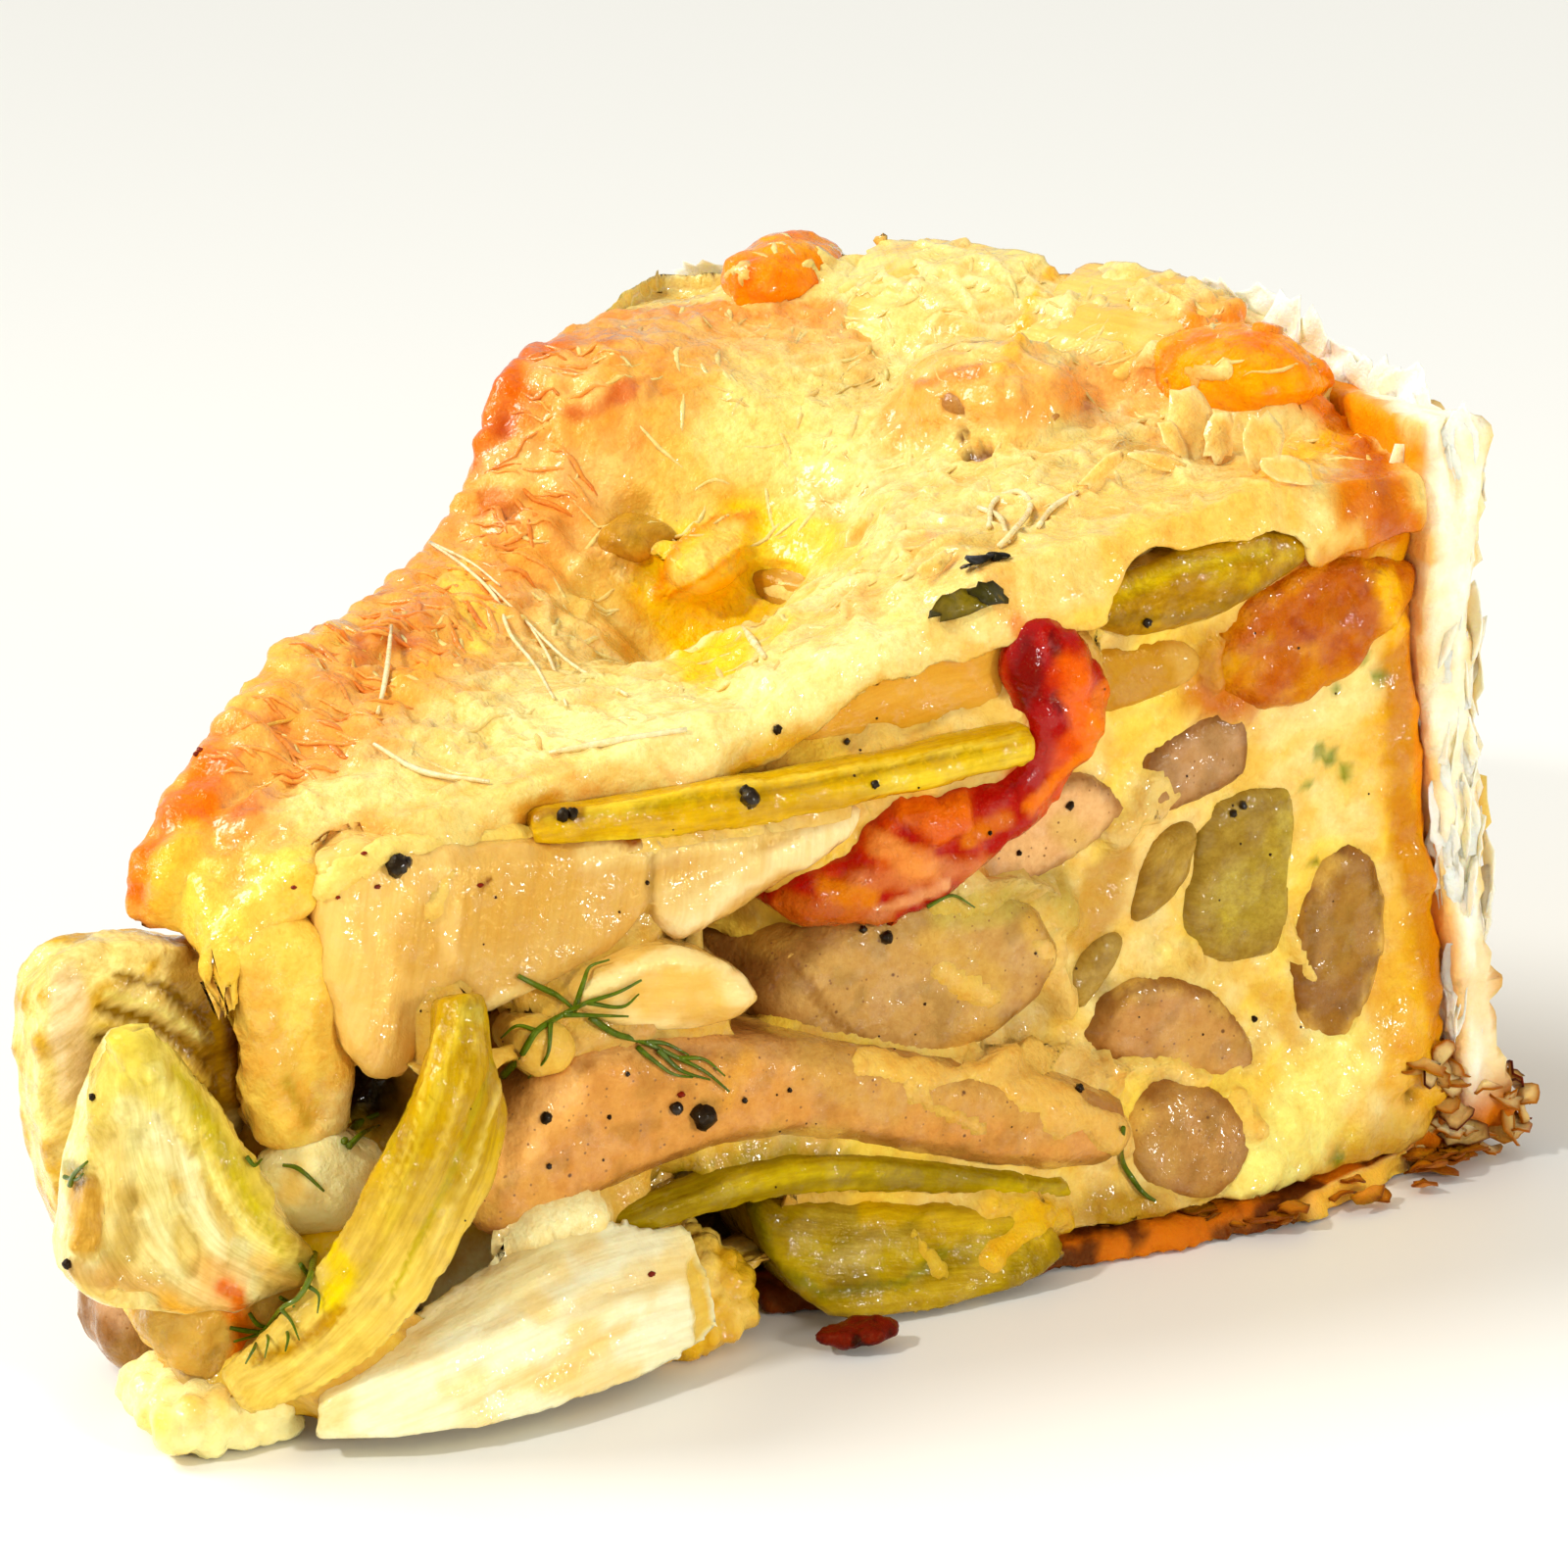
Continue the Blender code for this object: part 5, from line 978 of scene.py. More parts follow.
print("Setting the tomatoes, the browned egg and the loose egg")
softBits = {
    "grid": 0.46,
    "tomato": {
        "mottle": [(1.8, 0.35, (226, 130, 50))],
        "roughness": (0.26, 0.08), "coat": 0.16, "coatRoughness": 0.05, "coatIor": 1.32, "specular": 0.08,
        "glow": 0.1, "glowDepth": 1.2,
        "glowColour": (1.0, 0.2, 0.02),
        "bumps": [(1.2, 0.45, "all"), (0.5, 0.16, "all")]},
    "browned": {
        "mottle": [(1.6, 0.5, (214, 140, 50))],
        "roughness": (0.26, 0.08), "coat": 0.16, "coatRoughness": 0.05, "coatIor": 1.32, "specular": 0.08,
        "glow": 0.08, "glowDepth": 1.2,
        "glowColour": (1.0, 0.4, 0.02),
        "bumps": [(1.2, 0.45, "all"), (0.5, 0.16, "all")]},
    "egg": {
        "mottle": [(2.0, 0.35, (246, 212, 130))],
        "roughness": (0.36, 0.1), "coat": 0.2, "coatRoughness": 0.06, "glow": 0.2, "glowDepth": 1.6,
        "glintSize": 1.1, "glintDepth": 0.45,
        "bumps": [(1.3, 0.3, "all"), (0.5, 0.12, "all")]},
    # each piece: slot, colour, second colour, size of its lumps, how high they stand, how far it swells
    "pieces": {
        "tomato_cut": ("tomato", (176, 30, 0), (224, 84, 12), 3.2, 0.7, 0.35),
        "tomato_top_left": ("tomato", (254, 148, 0), (250, 122, 0), 3.4, 0.3, 0.2),
        "tomato_top_right": ("tomato", (254, 164, 6), (250, 134, 0), 3.4, 0.3, 0.2),
        "browned_corner": ("browned", (214, 134, 0), (192, 98, 0), 3.4, 0.5, 0.3),
        "custard_spill": ("egg", (214, 170, 80), (250, 208, 96), 1.9, 0.6, 0.5),
        "egg_white": ("egg", (255, 244, 176), (250, 212, 112), 2.6, 0.3, 0.8),
        "egg_yolk": ("egg", (255, 226, 0), (255, 218, 0), 3.0, 0.2, 1.2),
        "custard_foot": ("egg", (255, 242, 170), (246, 208, 100), 2.2, 0.9, 0.3),
        "egg_crumble": ("egg", (232, 180, 52), (246, 206, 100), 1.3, 1.0, 0.8),
        "cheese_drip": ("cheese", (248, 212, 96), (226, 180, 84), 3.2, 0.5, 0.6)},
    "strokes": {
        "tomato_cut": [
            ([(75.3, 51.7), (75.8, 46.4)], 1.4, (120, 8, 0), 0.9, 0.0),
            ([(76.7, 45.0), (76.2, 40.1)], 2.2, (166, 24, 0), 0.9, 0.2),
            ([(80.1, 47.5), (80.6, 44.5)], 1.2, (250, 110, 30), 0.7, 0.4),
            ([(77.3, 51.9), (78.0, 50.6)], 0.5, (110, 6, 0), 0.8, -0.3),
            ([(77.6, 46.8), (78.3, 45.9)], 0.5, (116, 8, 0), 0.8, -0.3),
            ([(78.9, 49.2), (80.1, 45.0), (81.3, 39.8)], 1.5, (246, 110, 14), 0.8, 0.3),
            ([(77.8, 48.6)], 1.2, (214, 70, 50), 0.6, 0.5),
            ([(81.9, 47.2), (80.2, 41.6), (75.7, 38.1)], 0.9, (244, 130, 40), 0.8, 0.2),
            ([(65.1, 38.7), (67.3, 37.2), (69.0, 38.6)], 2.0, (234, 112, 14), 0.9, 0.7),
            ([(60.7, 37.7), (62.5, 34.9)], 1.8, (206, 60, 20), 0.7, 0.2),
            ([(59.9, 33.7), (65.1, 33.7), (71.3, 33.7)], 1.6, (222, 132, 80), 0.75, 0.2),
            ([(62.5, 36.4), (66.0, 34.4)], 1.9, (240, 150, 76), 0.85, 0.2),
            ([(70.0, 36.0), (72.9, 37.0)], 1.4, (222, 118, 34), 0.85, 0.2),
            ([(57.7, 33.6), (61.2, 32.2)], 1.4, (222, 128, 44), 0.85, 0.1),
            ([(61.6, 30.9), (67.8, 32.5)], 0.7, (238, 168, 110), 0.8, 0.2),
            ([(53.8, 32.5), (59.0, 30.5), (62.5, 30.4)], 1.3, (190, 100, 50), 0.8, 0.2),
            ([(57.2, 35.7), (58.1, 34.7)], 1.2, (196, 50, 20), 0.7, 0.0)],
        "browned_corner": [
            ([(98.2, 52.7), (102.3, 55.2)], 1.0, (224, 142, 10), 0.6, 0.3),
            ([(93.7, 47.4), (97.4, 49.5)], 1.4, (214, 150, 20), 0.7, 0.2),
            ([(106.5, 55.9), (108.1, 52.4)], 1.0, (228, 150, 10), 0.7, 0.2),
            ([(100.1, 50.8), (101.6, 49.0)], 0.8, (166, 72, 0), 0.7, -0.3),
            ([(108.7, 53.2), (109.6, 48.9)], 1.4, (255, 190, 10), 0.9, 0.2),
            ([(95.5, 49.7), (98.4, 46.9)], 1.6, (196, 100, 8), 0.6, 0.2),
            ([(103.9, 51.2), (106.8, 49.2)], 1.6, (182, 92, 2), 0.6, 0.0),
            ([(97.6, 43.6), (101.3, 44.4)], 1.4, (214, 140, 30), 0.7, 0.2)],
        "custard_spill": [
            ([(6.3, 7.0), (7.4, 5.2), (6.8, 2.2)], 1.5, (246, 114, 0), 0.85, 0.2),
            ([(5.1, 9.7), (6.3, 10.3)], 1.2, (248, 214, 140), 0.6, 0.2),
            ([(14.3, 10.5), (15.8, 8.2), (14.1, 5.6)], 1.6, (255, 220, 0), 1.0, 0.2)],
        "cheese_drip": [
            ([(8.7, 33.2), (10.8, 28.1), (12.2, 22.2)], 2.0, (232, 184, 86), 0.7, 0.2),
            ([(7.4, 33.4), (7.5, 27.8), (7.9, 21.0)], 1.3, (104, 54, 0), 0.95, -0.9),
            ([(14.9, 29.8), (15.5, 24.1)], 1.6, (222, 176, 80), 0.6, 0.0),
            ([(16.2, 22.4), (14.6, 19.4)], 1.8, (250, 226, 150), 0.7, 0.2),
            ([(11.5, 24.8), (13.0, 21.3)], 0.7, (176, 150, 40), 0.5, 0.0)],
        "tomato_top_left": [
            ([(44.8, 83.9), (46.8, 85.3)], 2.6, (255, 234, 140), 0.9, 0.0),
            ([(51.3, 86.0), (58.0, 85.1)], 1.2, (250, 176, 40), 0.6, 0.0)],
    },
}
bitFinish = {"tomato": foodFinish("roast tomato", softBits["tomato"]),
             "browned": foodFinish("browned oily egg", softBits["browned"]),
             "egg": foodFinish("loose egg", softBits["egg"]), "cheese": cheeseFinish}


def makeBits():
    for number, (node, look) in enumerate(softBits["pieces"].items()):
        slot, main, second, lumpSize, lumpHeight, swelling = look
        piece = denseCopy(node + "_soft", [node], softBits["grid"], 2)
        at, facing = pointsOf(piece), normalsOf(piece)
        lumps = pebbles(at + 0.8 * swells(at, 2.6, 200 + number)[:, None], lumpSize, 210 + number)
        lift = lumpHeight * (ramp(0.0, 0.8, lumps) - 0.5) + 0.15 * unevenness(at, 2.2, 220 + number)
        colour = np.tile(paint(*main), (len(at), 1))
        colour = blendIn(colour, paint(*second), ramp(-0.1, 0.55, unevenness(at, 4.0, 230 + number)))
        colour, rise = touchUp(at, facing, colour, softBits["strokes"].get(node, []))
        movePoints(piece, at + facing * (swelling + lift + rise)[:, None])
        colourIn(piece, colour, 0.7 + 0.3 * unevenness(at, 4.0, 240 + number))
        handOver(piece, slot, bitFinish[slot], node)


makeBits()

print("Baking the pastry")
pastry = {
    "grid": 0.62,
    "flake": (112, 34, 0),
    "flakeDark": (50, 14, 0),
    "wall": (255, 252, 232),
    "blush": (255, 230, 178),
    "baseEdge": (208, 112, 12),
    "burnt": (74, 32, 8),
    "soft": (250, 190, 76),
    # painted shade: the warmer, deeper peach laid into the sunk layers of the wall's cut end
    "hollow": (255, 226, 172),
    "outside": (250, 208, 128),
    "baked": (214, 146, 66),
    "line": (255, 186, 84),
    "finish": {
        "mottle": [(4.0, 0.3, (255, 226, 166)), (1.2, 0.2, (250, 216, 160))],
        "roughness": (0.55, 0.3), "glow": 0.4, "glowDepth": 2.0,
        "bumps": [(0.9, 0.2, "all"), (0.3, 0.08, "all")]},
    "charred": {
        "mottle": [(0.8, 0.45, (126, 62, 22))],
        "roughness": (0.5, 0.3), "specular": 0.12,
        "bumps": [(0.7, 0.3, "all")]},
    "strokes": [
        ([(103.3, 69.9), (106.5, 66.7), (110.9, 63.4)], 3.4, (236, 146, 24), 0.95, 0.0),
        ([(110.9, 62.1), (112.2, 55.3)], 1.2, (250, 180, 80), 0.8, 0.0),
        # partly the pastry's own pale colour, partly painted light: keeps the lower cut end of the wall near
        # white
        ([(115.7, 43.0), (117.5, 28.9)], 3.0, (255, 250, 226), 0.8, 0.0),
        ([(114.6, 29.3), (116.0, 20.3)], 0.8, (248, 170, 66), 0.8, 0.0),
    ],
}
pastryFinish = foodFinish("flaky pastry", pastry["finish"])
charredFinish = foodFinish("charred pastry", pastry["charred"])


def makePastry():
    piece = denseCopy("pastry_shell", ["pastry_case"], pastry["grid"], 1)
    at, facing = pointsOf(piece), normalsOf(piece)
    radius = discPlace(at)[0]
    tall = at * np.array([1.0, 1.0, 0.35])
    along, height, _ = cutPlace(at)
    lift = 0.4 * unevenness(tall, 4.0, 301) + 0.2 * unevenness(at, 1.6, 303, 2)
    cutEnd = ramp(0.5, 0.8, facing @ outOfCut) * ramp(108, 111, along)
    sheets = along / 1.3 + 0.8 * swells(at, 5.0, 321)
    layers = swells(np.stack([sheets, height / 9.0, height * 0.0], axis=1), 1.0, 323)
    lift += cutEnd * (0.7 * layers + 1.2 * unevenness(at, 9.0, 327))
    outside = ramp(0.4, 0.8, facing @ alongCut) * ramp(4.0, 9.0, height)
    lift += outside * 1.1 * unevenness(at, 3.6, 325)
    colour = np.tile(paint(*pastry["wall"]), (len(at), 1))
    colour = blendIn(colour, paint(*pastry["blush"]), ramp(0.0, 0.6, unevenness(at, 8.0, 305)))
    depth = crustPlace(at)
    rear = ramp(0.3, 0.8, facing @ alongCut + 0.2 * unevenness(at, 6.0, 329)) * ramp(119.0, 120.0, depth)
    colour = blendIn(colour, paint(*pastry["outside"]), 0.85 * rear)
    patches = ramp(0.05, 0.6, unevenness(tall, 5.0, 331, 4))
    colour = blendIn(colour, paint(*pastry["baked"]), 0.7 * rear * patches)
    # painted shade: the sunk layers on the cut end of the wall are painted a deeper peach
    colour = blendIn(colour, paint(*pastry["hollow"]), 0.85 * cutEnd * ramp(0.0, -0.55, layers))
    colour = blendIn(colour, paint(*pastry["line"]), 0.8 * ramp(118.9, 118.0, depth) * ramp(4, 10, height))
    base = ramp(8.0, 2.5, height + 2.0 * unevenness(at, 4.0, 307))
    base = np.maximum(base, ramp(5.4, 4.0, height) * ramp(119.0, 116.0, radius))
    paler = ramp(98.0, 101.0, along) * ramp(114.0, 112.0, along) * ramp(0.2, 0.6, facing @ outOfCut)
    base = base * (1.0 - 0.85 * paler)
    colour = blendIn(colour, paint(*pastry["baseEdge"]), base)
    burnt = base * ramp(-0.05, 0.35, unevenness(at, 5.0, 309, 4) + 0.3 * ramp(3.0, 0.5, height))
    colour = blendIn(colour, paint(*pastry["burnt"]), 0.9 * burnt)
    colour = blendIn(colour, paint(*pastry["soft"]), paler * ramp(9.0, 7.0, height))
    colour, rise = touchUp(at, facing, colour, pastry["strokes"])
    movePoints(piece, at + facing * (0.2 + lift + rise)[:, None])
    colourIn(piece, colour, 0.3 + 0.3 * unevenness(at, 5.0, 311))
    handOver(piece, "pastry", pastryFinish, "pastry_case")
    flake = denseCopy("burnt_flake", ["crust_flake"], 0.3, 1)
    at, facing = pointsOf(flake), normalsOf(flake)
    colour = np.tile(paint(*pastry["flake"]), (len(at), 1))
    colour = blendIn(colour, paint(*pastry["flakeDark"]), ramp(0.0, 0.5, unevenness(at, 1.6, 315)))
    movePoints(flake, at + facing * (0.1 + 0.35 * unevenness(at, 1.4, 313))[:, None])
    colourIn(flake, colour, 0.6)
    handOver(flake, "pastry", charredFinish, "crust_flake")


makePastry()


# loose things are built as lists of rings and sheets, one mesh for each kind
class Heap:
    def __init__(self, name):
        self.name = name
        self.places, self.sides, self.tints, self.wets = [], [], [], []

    def add(self, places, sides, tint, wet=0.4):
        first = len(self.places)
        self.places += [tuple(place) for place in places]
        self.sides += [[first + index for index in side] for side in sides]
        tint = np.broadcast_to(np.array(tint, float), (len(places), 3))
        self.tints += [tuple(row) for row in tint]
        self.wets += [wet] * len(places)

    def build(self, slot, finish):
        mesh = bpy.data.meshes.new(self.name)
        mesh.from_pydata([tuple(c * mm for c in place) for place in self.places], [], self.sides)
        mesh.validate()
        mesh.polygons.foreach_set("use_smooth", [True] * len(mesh.polygons))
        piece = bpy.data.objects.new(self.name, mesh)
        scene.collection.objects.link(piece)
        movePoints(piece, pointsOf(piece))
        colourIn(piece, np.array(self.tints), np.array(self.wets))
        handOver(piece, slot, finish)
        print(f"  {self.name}: {len(mesh.polygons)} faces")
        return piece


def strand(heap, path, radii, tint, flat=1.0, sides=6, wet=0.5):
    # a thread along a path, closed at both ends; flat squeezes it top to bottom
    path = np.array(path, float)
    count = len(path)
    radii = np.interp(np.linspace(0, 1, count), np.linspace(0, 1, len(radii)), radii)
    ways = np.gradient(path, axis=0)
    ways /= np.linalg.norm(ways, axis=1)[:, None] + 1e-9
    places, faces = [], []
    side = np.cross(ways[0], up)
    if np.linalg.norm(side) < 0.2:
        side = np.cross(ways[0], [1.0, 0.0, 0.0])
    for k in range(count):
        side = side - ways[k] * (side @ ways[k])
        side /= np.linalg.norm(side)
        over = np.cross(side, ways[k])
        for n in range(sides):
            angle = 2 * math.pi * n / sides
            places.append(path[k] + radii[k] * (side * math.cos(angle) + over * flat * math.sin(angle)))
    for k in range(count - 1):
        for n in range(sides):
            m = (n + 1) % sides
            faces.append([k * sides + n, k * sides + m, (k + 1) * sides + m, (k + 1) * sides + n])
    faces.append(list(range(sides))[::-1])
    faces.append([(count - 1) * sides + n for n in range(sides)])
    heap.add(places, faces, tint, wet)


def smoothPath(line, steps=5):
    # a rounder path through the given points
    line = np.array(line, float)
    if len(line) < 3:
        return np.array([line[0] + (line[-1] - line[0]) * t for t in np.linspace(0, 1, steps + 1)])
    ends = np.vstack([2 * line[0] - line[1], line, 2 * line[-1] - line[-2]])
    out = []
    for k in range(1, len(ends) - 2):
        a, b, c, d = ends[k - 1:k + 3]
        for t in np.arange(steps) / steps:
            out.append(0.5 * (2 * b + (c - a) * t + (2 * a - 5 * b + 4 * c - d) * t * t +
                              (3 * b - a - 3 * c + d) * t ** 3))
    out.append(ends[-2])
    return np.array(out)


def raggedSheet(heap, middle, across, along, size, tint, edgeTint, seed, thick=0.28, curl=0.8, rings=5,
                spokes=18):
    # a thin torn flake: across and along are its two directions, size its two half sizes
    chance = random.Random(seed)
    across = np.array(across, float) / np.linalg.norm(across)
    along = np.array(along, float) - across * (np.array(along, float) @ across)
    along /= np.linalg.norm(along)
    out = np.cross(across, along)
    tears = [0.62 + 0.38 * chance.random() for _ in range(spokes)]
    bend = [chance.uniform(-curl, curl) for _ in range(3)]
    phase = chance.uniform(0, 6.3)
    places, tints = [], []
    for face in (1.0, -1.0):
        for ring in range(rings + 1):
            share = ring / rings
            for spoke in range(spokes):
                angle = 2 * math.pi * spoke / spokes
                reachOut = share * (1.0 - share * (1.0 - tears[spoke]))
                x, y = math.cos(angle) * reachOut, math.sin(angle) * reachOut
                wave = bend[0] * x * x + bend[1] * y * y + bend[2] * x * y
                wave += 0.14 * curl * math.sin(5 * x + 4 * y + phase)
                depth = wave * max(size) * 0.5 + face * 0.5 * thick * (1.0 - 0.6 * share)
                places.append(middle + across * x * size[0] + along * y * size[1] + out * depth)
                edge = max(0.0, (share - 0.55) / 0.45)
                tints.append(np.array(tint) * (1 - edge) + np.array(edgeTint) * edge)
    faces = []
    half = (rings + 1) * spokes
    for flip, start in ((False, 0), (True, half)):
        for ring in range(rings):
            for spoke in range(spokes):
                nxt = (spoke + 1) % spokes
                quad = [start + ring * spokes + spoke, start + (ring + 1) * spokes + spoke,
                        start + (ring + 1) * spokes + nxt, start + ring * spokes + nxt]
                if ring == 0:
                    quad = [start, quad[1], quad[2]]
                faces.append(quad[::-1] if flip else quad)
    for spoke in range(spokes):
        nxt = (spoke + 1) % spokes
        rim = rings * spokes
        faces.append([rim + spoke, half + rim + spoke, half + rim + nxt, rim + nxt])
    heap.add(places, faces, np.array(tints), 0.35)


def crumb(heap, middle, radius, tint, seed, wet=0.4, squash=1.0):
    # a small uneven grain
    chance = random.Random(seed)
    places = []
    for k in range(6):
        tilt = math.pi * (k + 0.5) / 6
        for n in range(8):
            angle = 2 * math.pi * n / 8
            r = radius * chance.uniform(0.75, 1.15)
            turned = [math.sin(tilt) * math.cos(angle), math.sin(tilt) * math.sin(angle),
                      squash * math.cos(tilt)]
            places.append(middle + r * np.array(turned))
    faces = [[k * 8 + n, (k + 1) * 8 + n, (k + 1) * 8 + (n + 1) % 8, k * 8 + (n + 1) % 8]
             for k in range(5) for n in range(8)]
    faces.append(list(range(8)))
    faces.append([40 + n for n in range(8)][::-1])
    heap.add(places, faces, tint, wet)


print("Gathering the surfaces that loose things lie on")


def surfaceTree():
    corners, sides = [], []
    for piece in made:
        first = len(corners)
        corners += [tuple(row) for row in pointsOf(piece)]
        sides += [tuple(first + index for index in side.vertices) for side in piece.data.polygons]
    return BVHTree.FromPolygons(corners, sides)


surfaces = surfaceTree()


def landing(u, v):
    # where a thing that shows at this place on the cut really lies
    aim = onCut(u, v) - brushEye
    hit, normal, _, _ = surfaces.ray_cast(Vector(brushEye), Vector(aim / np.linalg.norm(aim)))
    if hit is None:
        return None, None
    return np.array(hit), np.array(normal)


def dropped(x, y):
    hit, normal, _, _ = surfaces.ray_cast(Vector((x, y, 120.0)), Vector((0.0, 0.0, -1.0)))
    if hit is None:
        return None, None
    return np.array(hit), np.array(normal)


print("Adding the cheese shreds and threads")
threads = {
    "shreds": 460,
    "folds": 110,                     # over the browned ridge at the back
    "colour": (252, 232, 150),
    "golden": (240, 176, 70),
    "ridge": ((250, 176, 90), (232, 130, 60)),
    "drawn": (252, 240, 190),         # the long threads placed one by one
    "petal": ((250, 206, 110), (255, 226, 150)),
    "lines": [
        ([(24.5, 65.5), (27.2, 63.3), (29.6, 60.6), (30.7, 57.5), (32.7, 54.9), (34.3, 52.0)],
         (0.16, 0.24, 0.16)),
        ([(29.2, 61.6), (32.3, 58.1), (35.9, 54.5), (40.4, 51.5)], (0.14, 0.2, 0.22)),
        ([(24.5, 65.5), (27.6, 63.6), (30.0, 61.5)], (0.2, 0.16, 0.12)),
        ([(32.3, 58.1), (33.9, 55.2), (35.3, 51.3)], (0.14, 0.2, 0.14)),
        ([(50.4, 55.9), (51.1, 54.7), (52.3, 53.2)], (0.12, 0.45, 0.3)),
        ([(71.8, 61.4), (72.2, 63.4), (74.4, 64.0), (75.5, 62.6), (74.0, 60.8), (72.7, 59.7)],
         (0.3, 0.36, 0.3)),
        ([(70.9, 63.1), (72.7, 62.1), (73.6, 60.0)], (0.3, 0.34, 0.25)),
        ([(76.2, 61.0), (77.5, 62.4), (79.7, 63.4)], (0.3, 0.34, 0.25)),
        ([(21.2, 59.4), (20.7, 55.6), (19.9, 52.7)], (0.2, 0.3, 0.2)),
        ([(19.4, 50.4), (23.3, 47.6), (28.9, 46.0)], (0.2, 0.34, 0.2)),
        ([(33.8, 47.7), (38.7, 47.9), (45.4, 48.2)], (0.2, 0.4, 0.25)),
        ([(1.5, 48.3), (2.4, 48.4)], (0.12, 0.12)),
    ],
    "petals": [
        # place, turn in degrees, half sizes, of the bigger flat shreds that stand up a little
        ((91.5, 65.0), 78, (4.6, 2.4)), ((93.7, 64.4), 60, (3.2, 1.5)), ((97.8, 63.2), 62, (3.4, 2.2)),
        ((99.9, 61.6), -20, (2.8, 1.4)), ((89.1, 65.2), 105, (2.6, 1.2)), ((87.8, 63.7), -25,
                                                                           (3.6, 1.0)), ((82.4, 63.5), 30,
                                                                                         (3.4, 0.9)),
        ((67.5, 57.9), 24, (2.6, 0.8)), ((60.6, 61.1), 40, (2.4, 0.8)),
    ],
}


def makeThreads():
    heap = Heap("cheese_shreds")
    chance = random.Random(31)
    pale, gold = paint(*threads["colour"]) * 0.9, paint(*threads["golden"]) * 0.9
    for _ in range(threads["shreds"]):
        radius = 16.0 + 96.0 * math.sqrt(chance.random())
        start = onTop(radius, chance.uniform(-21.5, 20.5), 0.0)
        way = math.radians(chance.uniform(0, 360))
        length = chance.uniform(3.5, 8.5)
        bend = chance.uniform(-0.12, 0.12)
        path = []
        for t in np.linspace(-0.5, 0.5, 7):
            x = start[0] + math.cos(way + bend * t * length) * t * length
            y = start[1] + math.sin(way + bend * t * length) * t * length
            hit, normal = dropped(x, y)
            if hit is not None and hit[2] > 36:
                path.append(hit + np.array([0.0, 0.0, -0.12 - 0.9 * t * t]))
        if len(path) < 6 or np.abs(np.diff([p[2] for p in path])).max() > 1.2:
            continue
        tone = chance.random()
        nearBack = path[3][1] > 0.42 * (path[3][0] + 56.3) - 8.0
        share = tone if nearBack else 0.5 * tone ** 2
        width = chance.uniform(0.16, 0.36)
        strand(heap, path, (width * 0.5, width, width * 0.5), pale * (1 - share) + gold * share, flat=0.7)
    light, deep = [paint(*shade) for shade in threads["ridge"]]
    for _ in range(threads["folds"]):
        along = chance.uniform(14.0, 84.0)
        inward = chance.uniform(0.5, 9.0)
        start = tip + inward * np.array([math.sin(halfAngle), -math.cos(halfAngle), 0.0])
        start = start + along * np.array([math.cos(halfAngle), math.sin(halfAngle), 0.0])
        way = chance.gauss(-1.2, 0.45)
        length = chance.uniform(2.5, 6.0)
        path = []
        for t in np.linspace(-0.5, 0.5, 7):
            hit, normal = dropped(start[0] + math.cos(way) * t * length,
                                  start[1] + math.sin(way) * t * length)
            if hit is not None and hit[2] > 30:
                path.append(hit + normal * (0.02 - 0.9 * t * t))
        if len(path) < 6 or np.abs(np.diff([p[2] for p in path])).max() > 1.6:
            continue
        share = chance.random()
        width = chance.uniform(0.2, 0.42)
        strand(heap, path, (width * 0.5, width, width * 0.5), light * (1 - share) + deep * share, flat=0.7)
    for line, radii in threads["lines"]:
        path = [landing(*place) for place in line]
        path = [hit + normal * 0.25 for hit, normal in path if hit is not None]
        if len(path) > 1:
            thin = [0.8 * radius for radius in radii]
            strand(heap, smoothPath(path), thin, paint(*threads["drawn"]) * 0.9, wet=0.6)
    inner, edge = [paint(*shade) for shade in threads["petal"]]
    for number, (place, turn, size) in enumerate(threads["petals"]):
        hit, normal = landing(*place)
        if hit is None:
            continue
        way = math.radians(turn)
        rising = up * 0.75 - outOfCut * 0.66
        across = alongCut * math.cos(way) + rising * math.sin(way)
        standing = 0.75 * (abs(math.sin(way)) * size[0] + abs(math.cos(way)) * size[1])
        raggedSheet(heap, hit + rising * standing, across, rising * math.cos(way) - alongCut * math.sin(way),
                    size, inner, edge, 400 + number, thick=0.4, curl=0.3, rings=4, spokes=16)
    heap.build("cheese", cheeseFinish)


makeThreads()

print("Flaking the pastry wall")
flakes = {
    "cutLayers": 44,                  # thin layers down the cut edge of the wall
    "outside": 80,                    # round the outside of the wall
    "topEdge": 26,                    # torn top edge
    "curled": 30,                     # curled leaves on the cut end of the wall
    "foot": 60,                       # crumbling foot of the crust
    "baseEdge": 90,                   # dark torn edge of the base
    "wallRadius": 120.2,
    "pale": (255, 253, 232),
    "tan": (255, 230, 176),
    "brown": (150, 84, 26),
    "char": (62, 28, 8),
    "crumb": (214, 166, 90),
    "crisp": (216, 138, 56),
    # the leaf that stands away from the top of the wall, and two below it:
    # place, how it faces, half sizes, colour, colour at its edge, curl, rings and spokes of its mesh
    "leaves": [
        ((113.2, 58.6, -0.6), (0.85, 0.3, 0.12), (6.0, 7.6), (254, 238, 168), (254, 240, 190), 0.35, 7, 26),
        ((115.6, 54.0, -2.0), (0.8, 0.5, 0.0), (3.4, 7.0), (252, 234, 170), (254, 240, 200), 0.5, 6, 22),
        ((117.0, 36.0, -0.4), (0.8, 0.4, 0.0), (2.4, 7.5), (252, 224, 160), (254, 240, 210), 0.6, 6, 22),
    ],
}


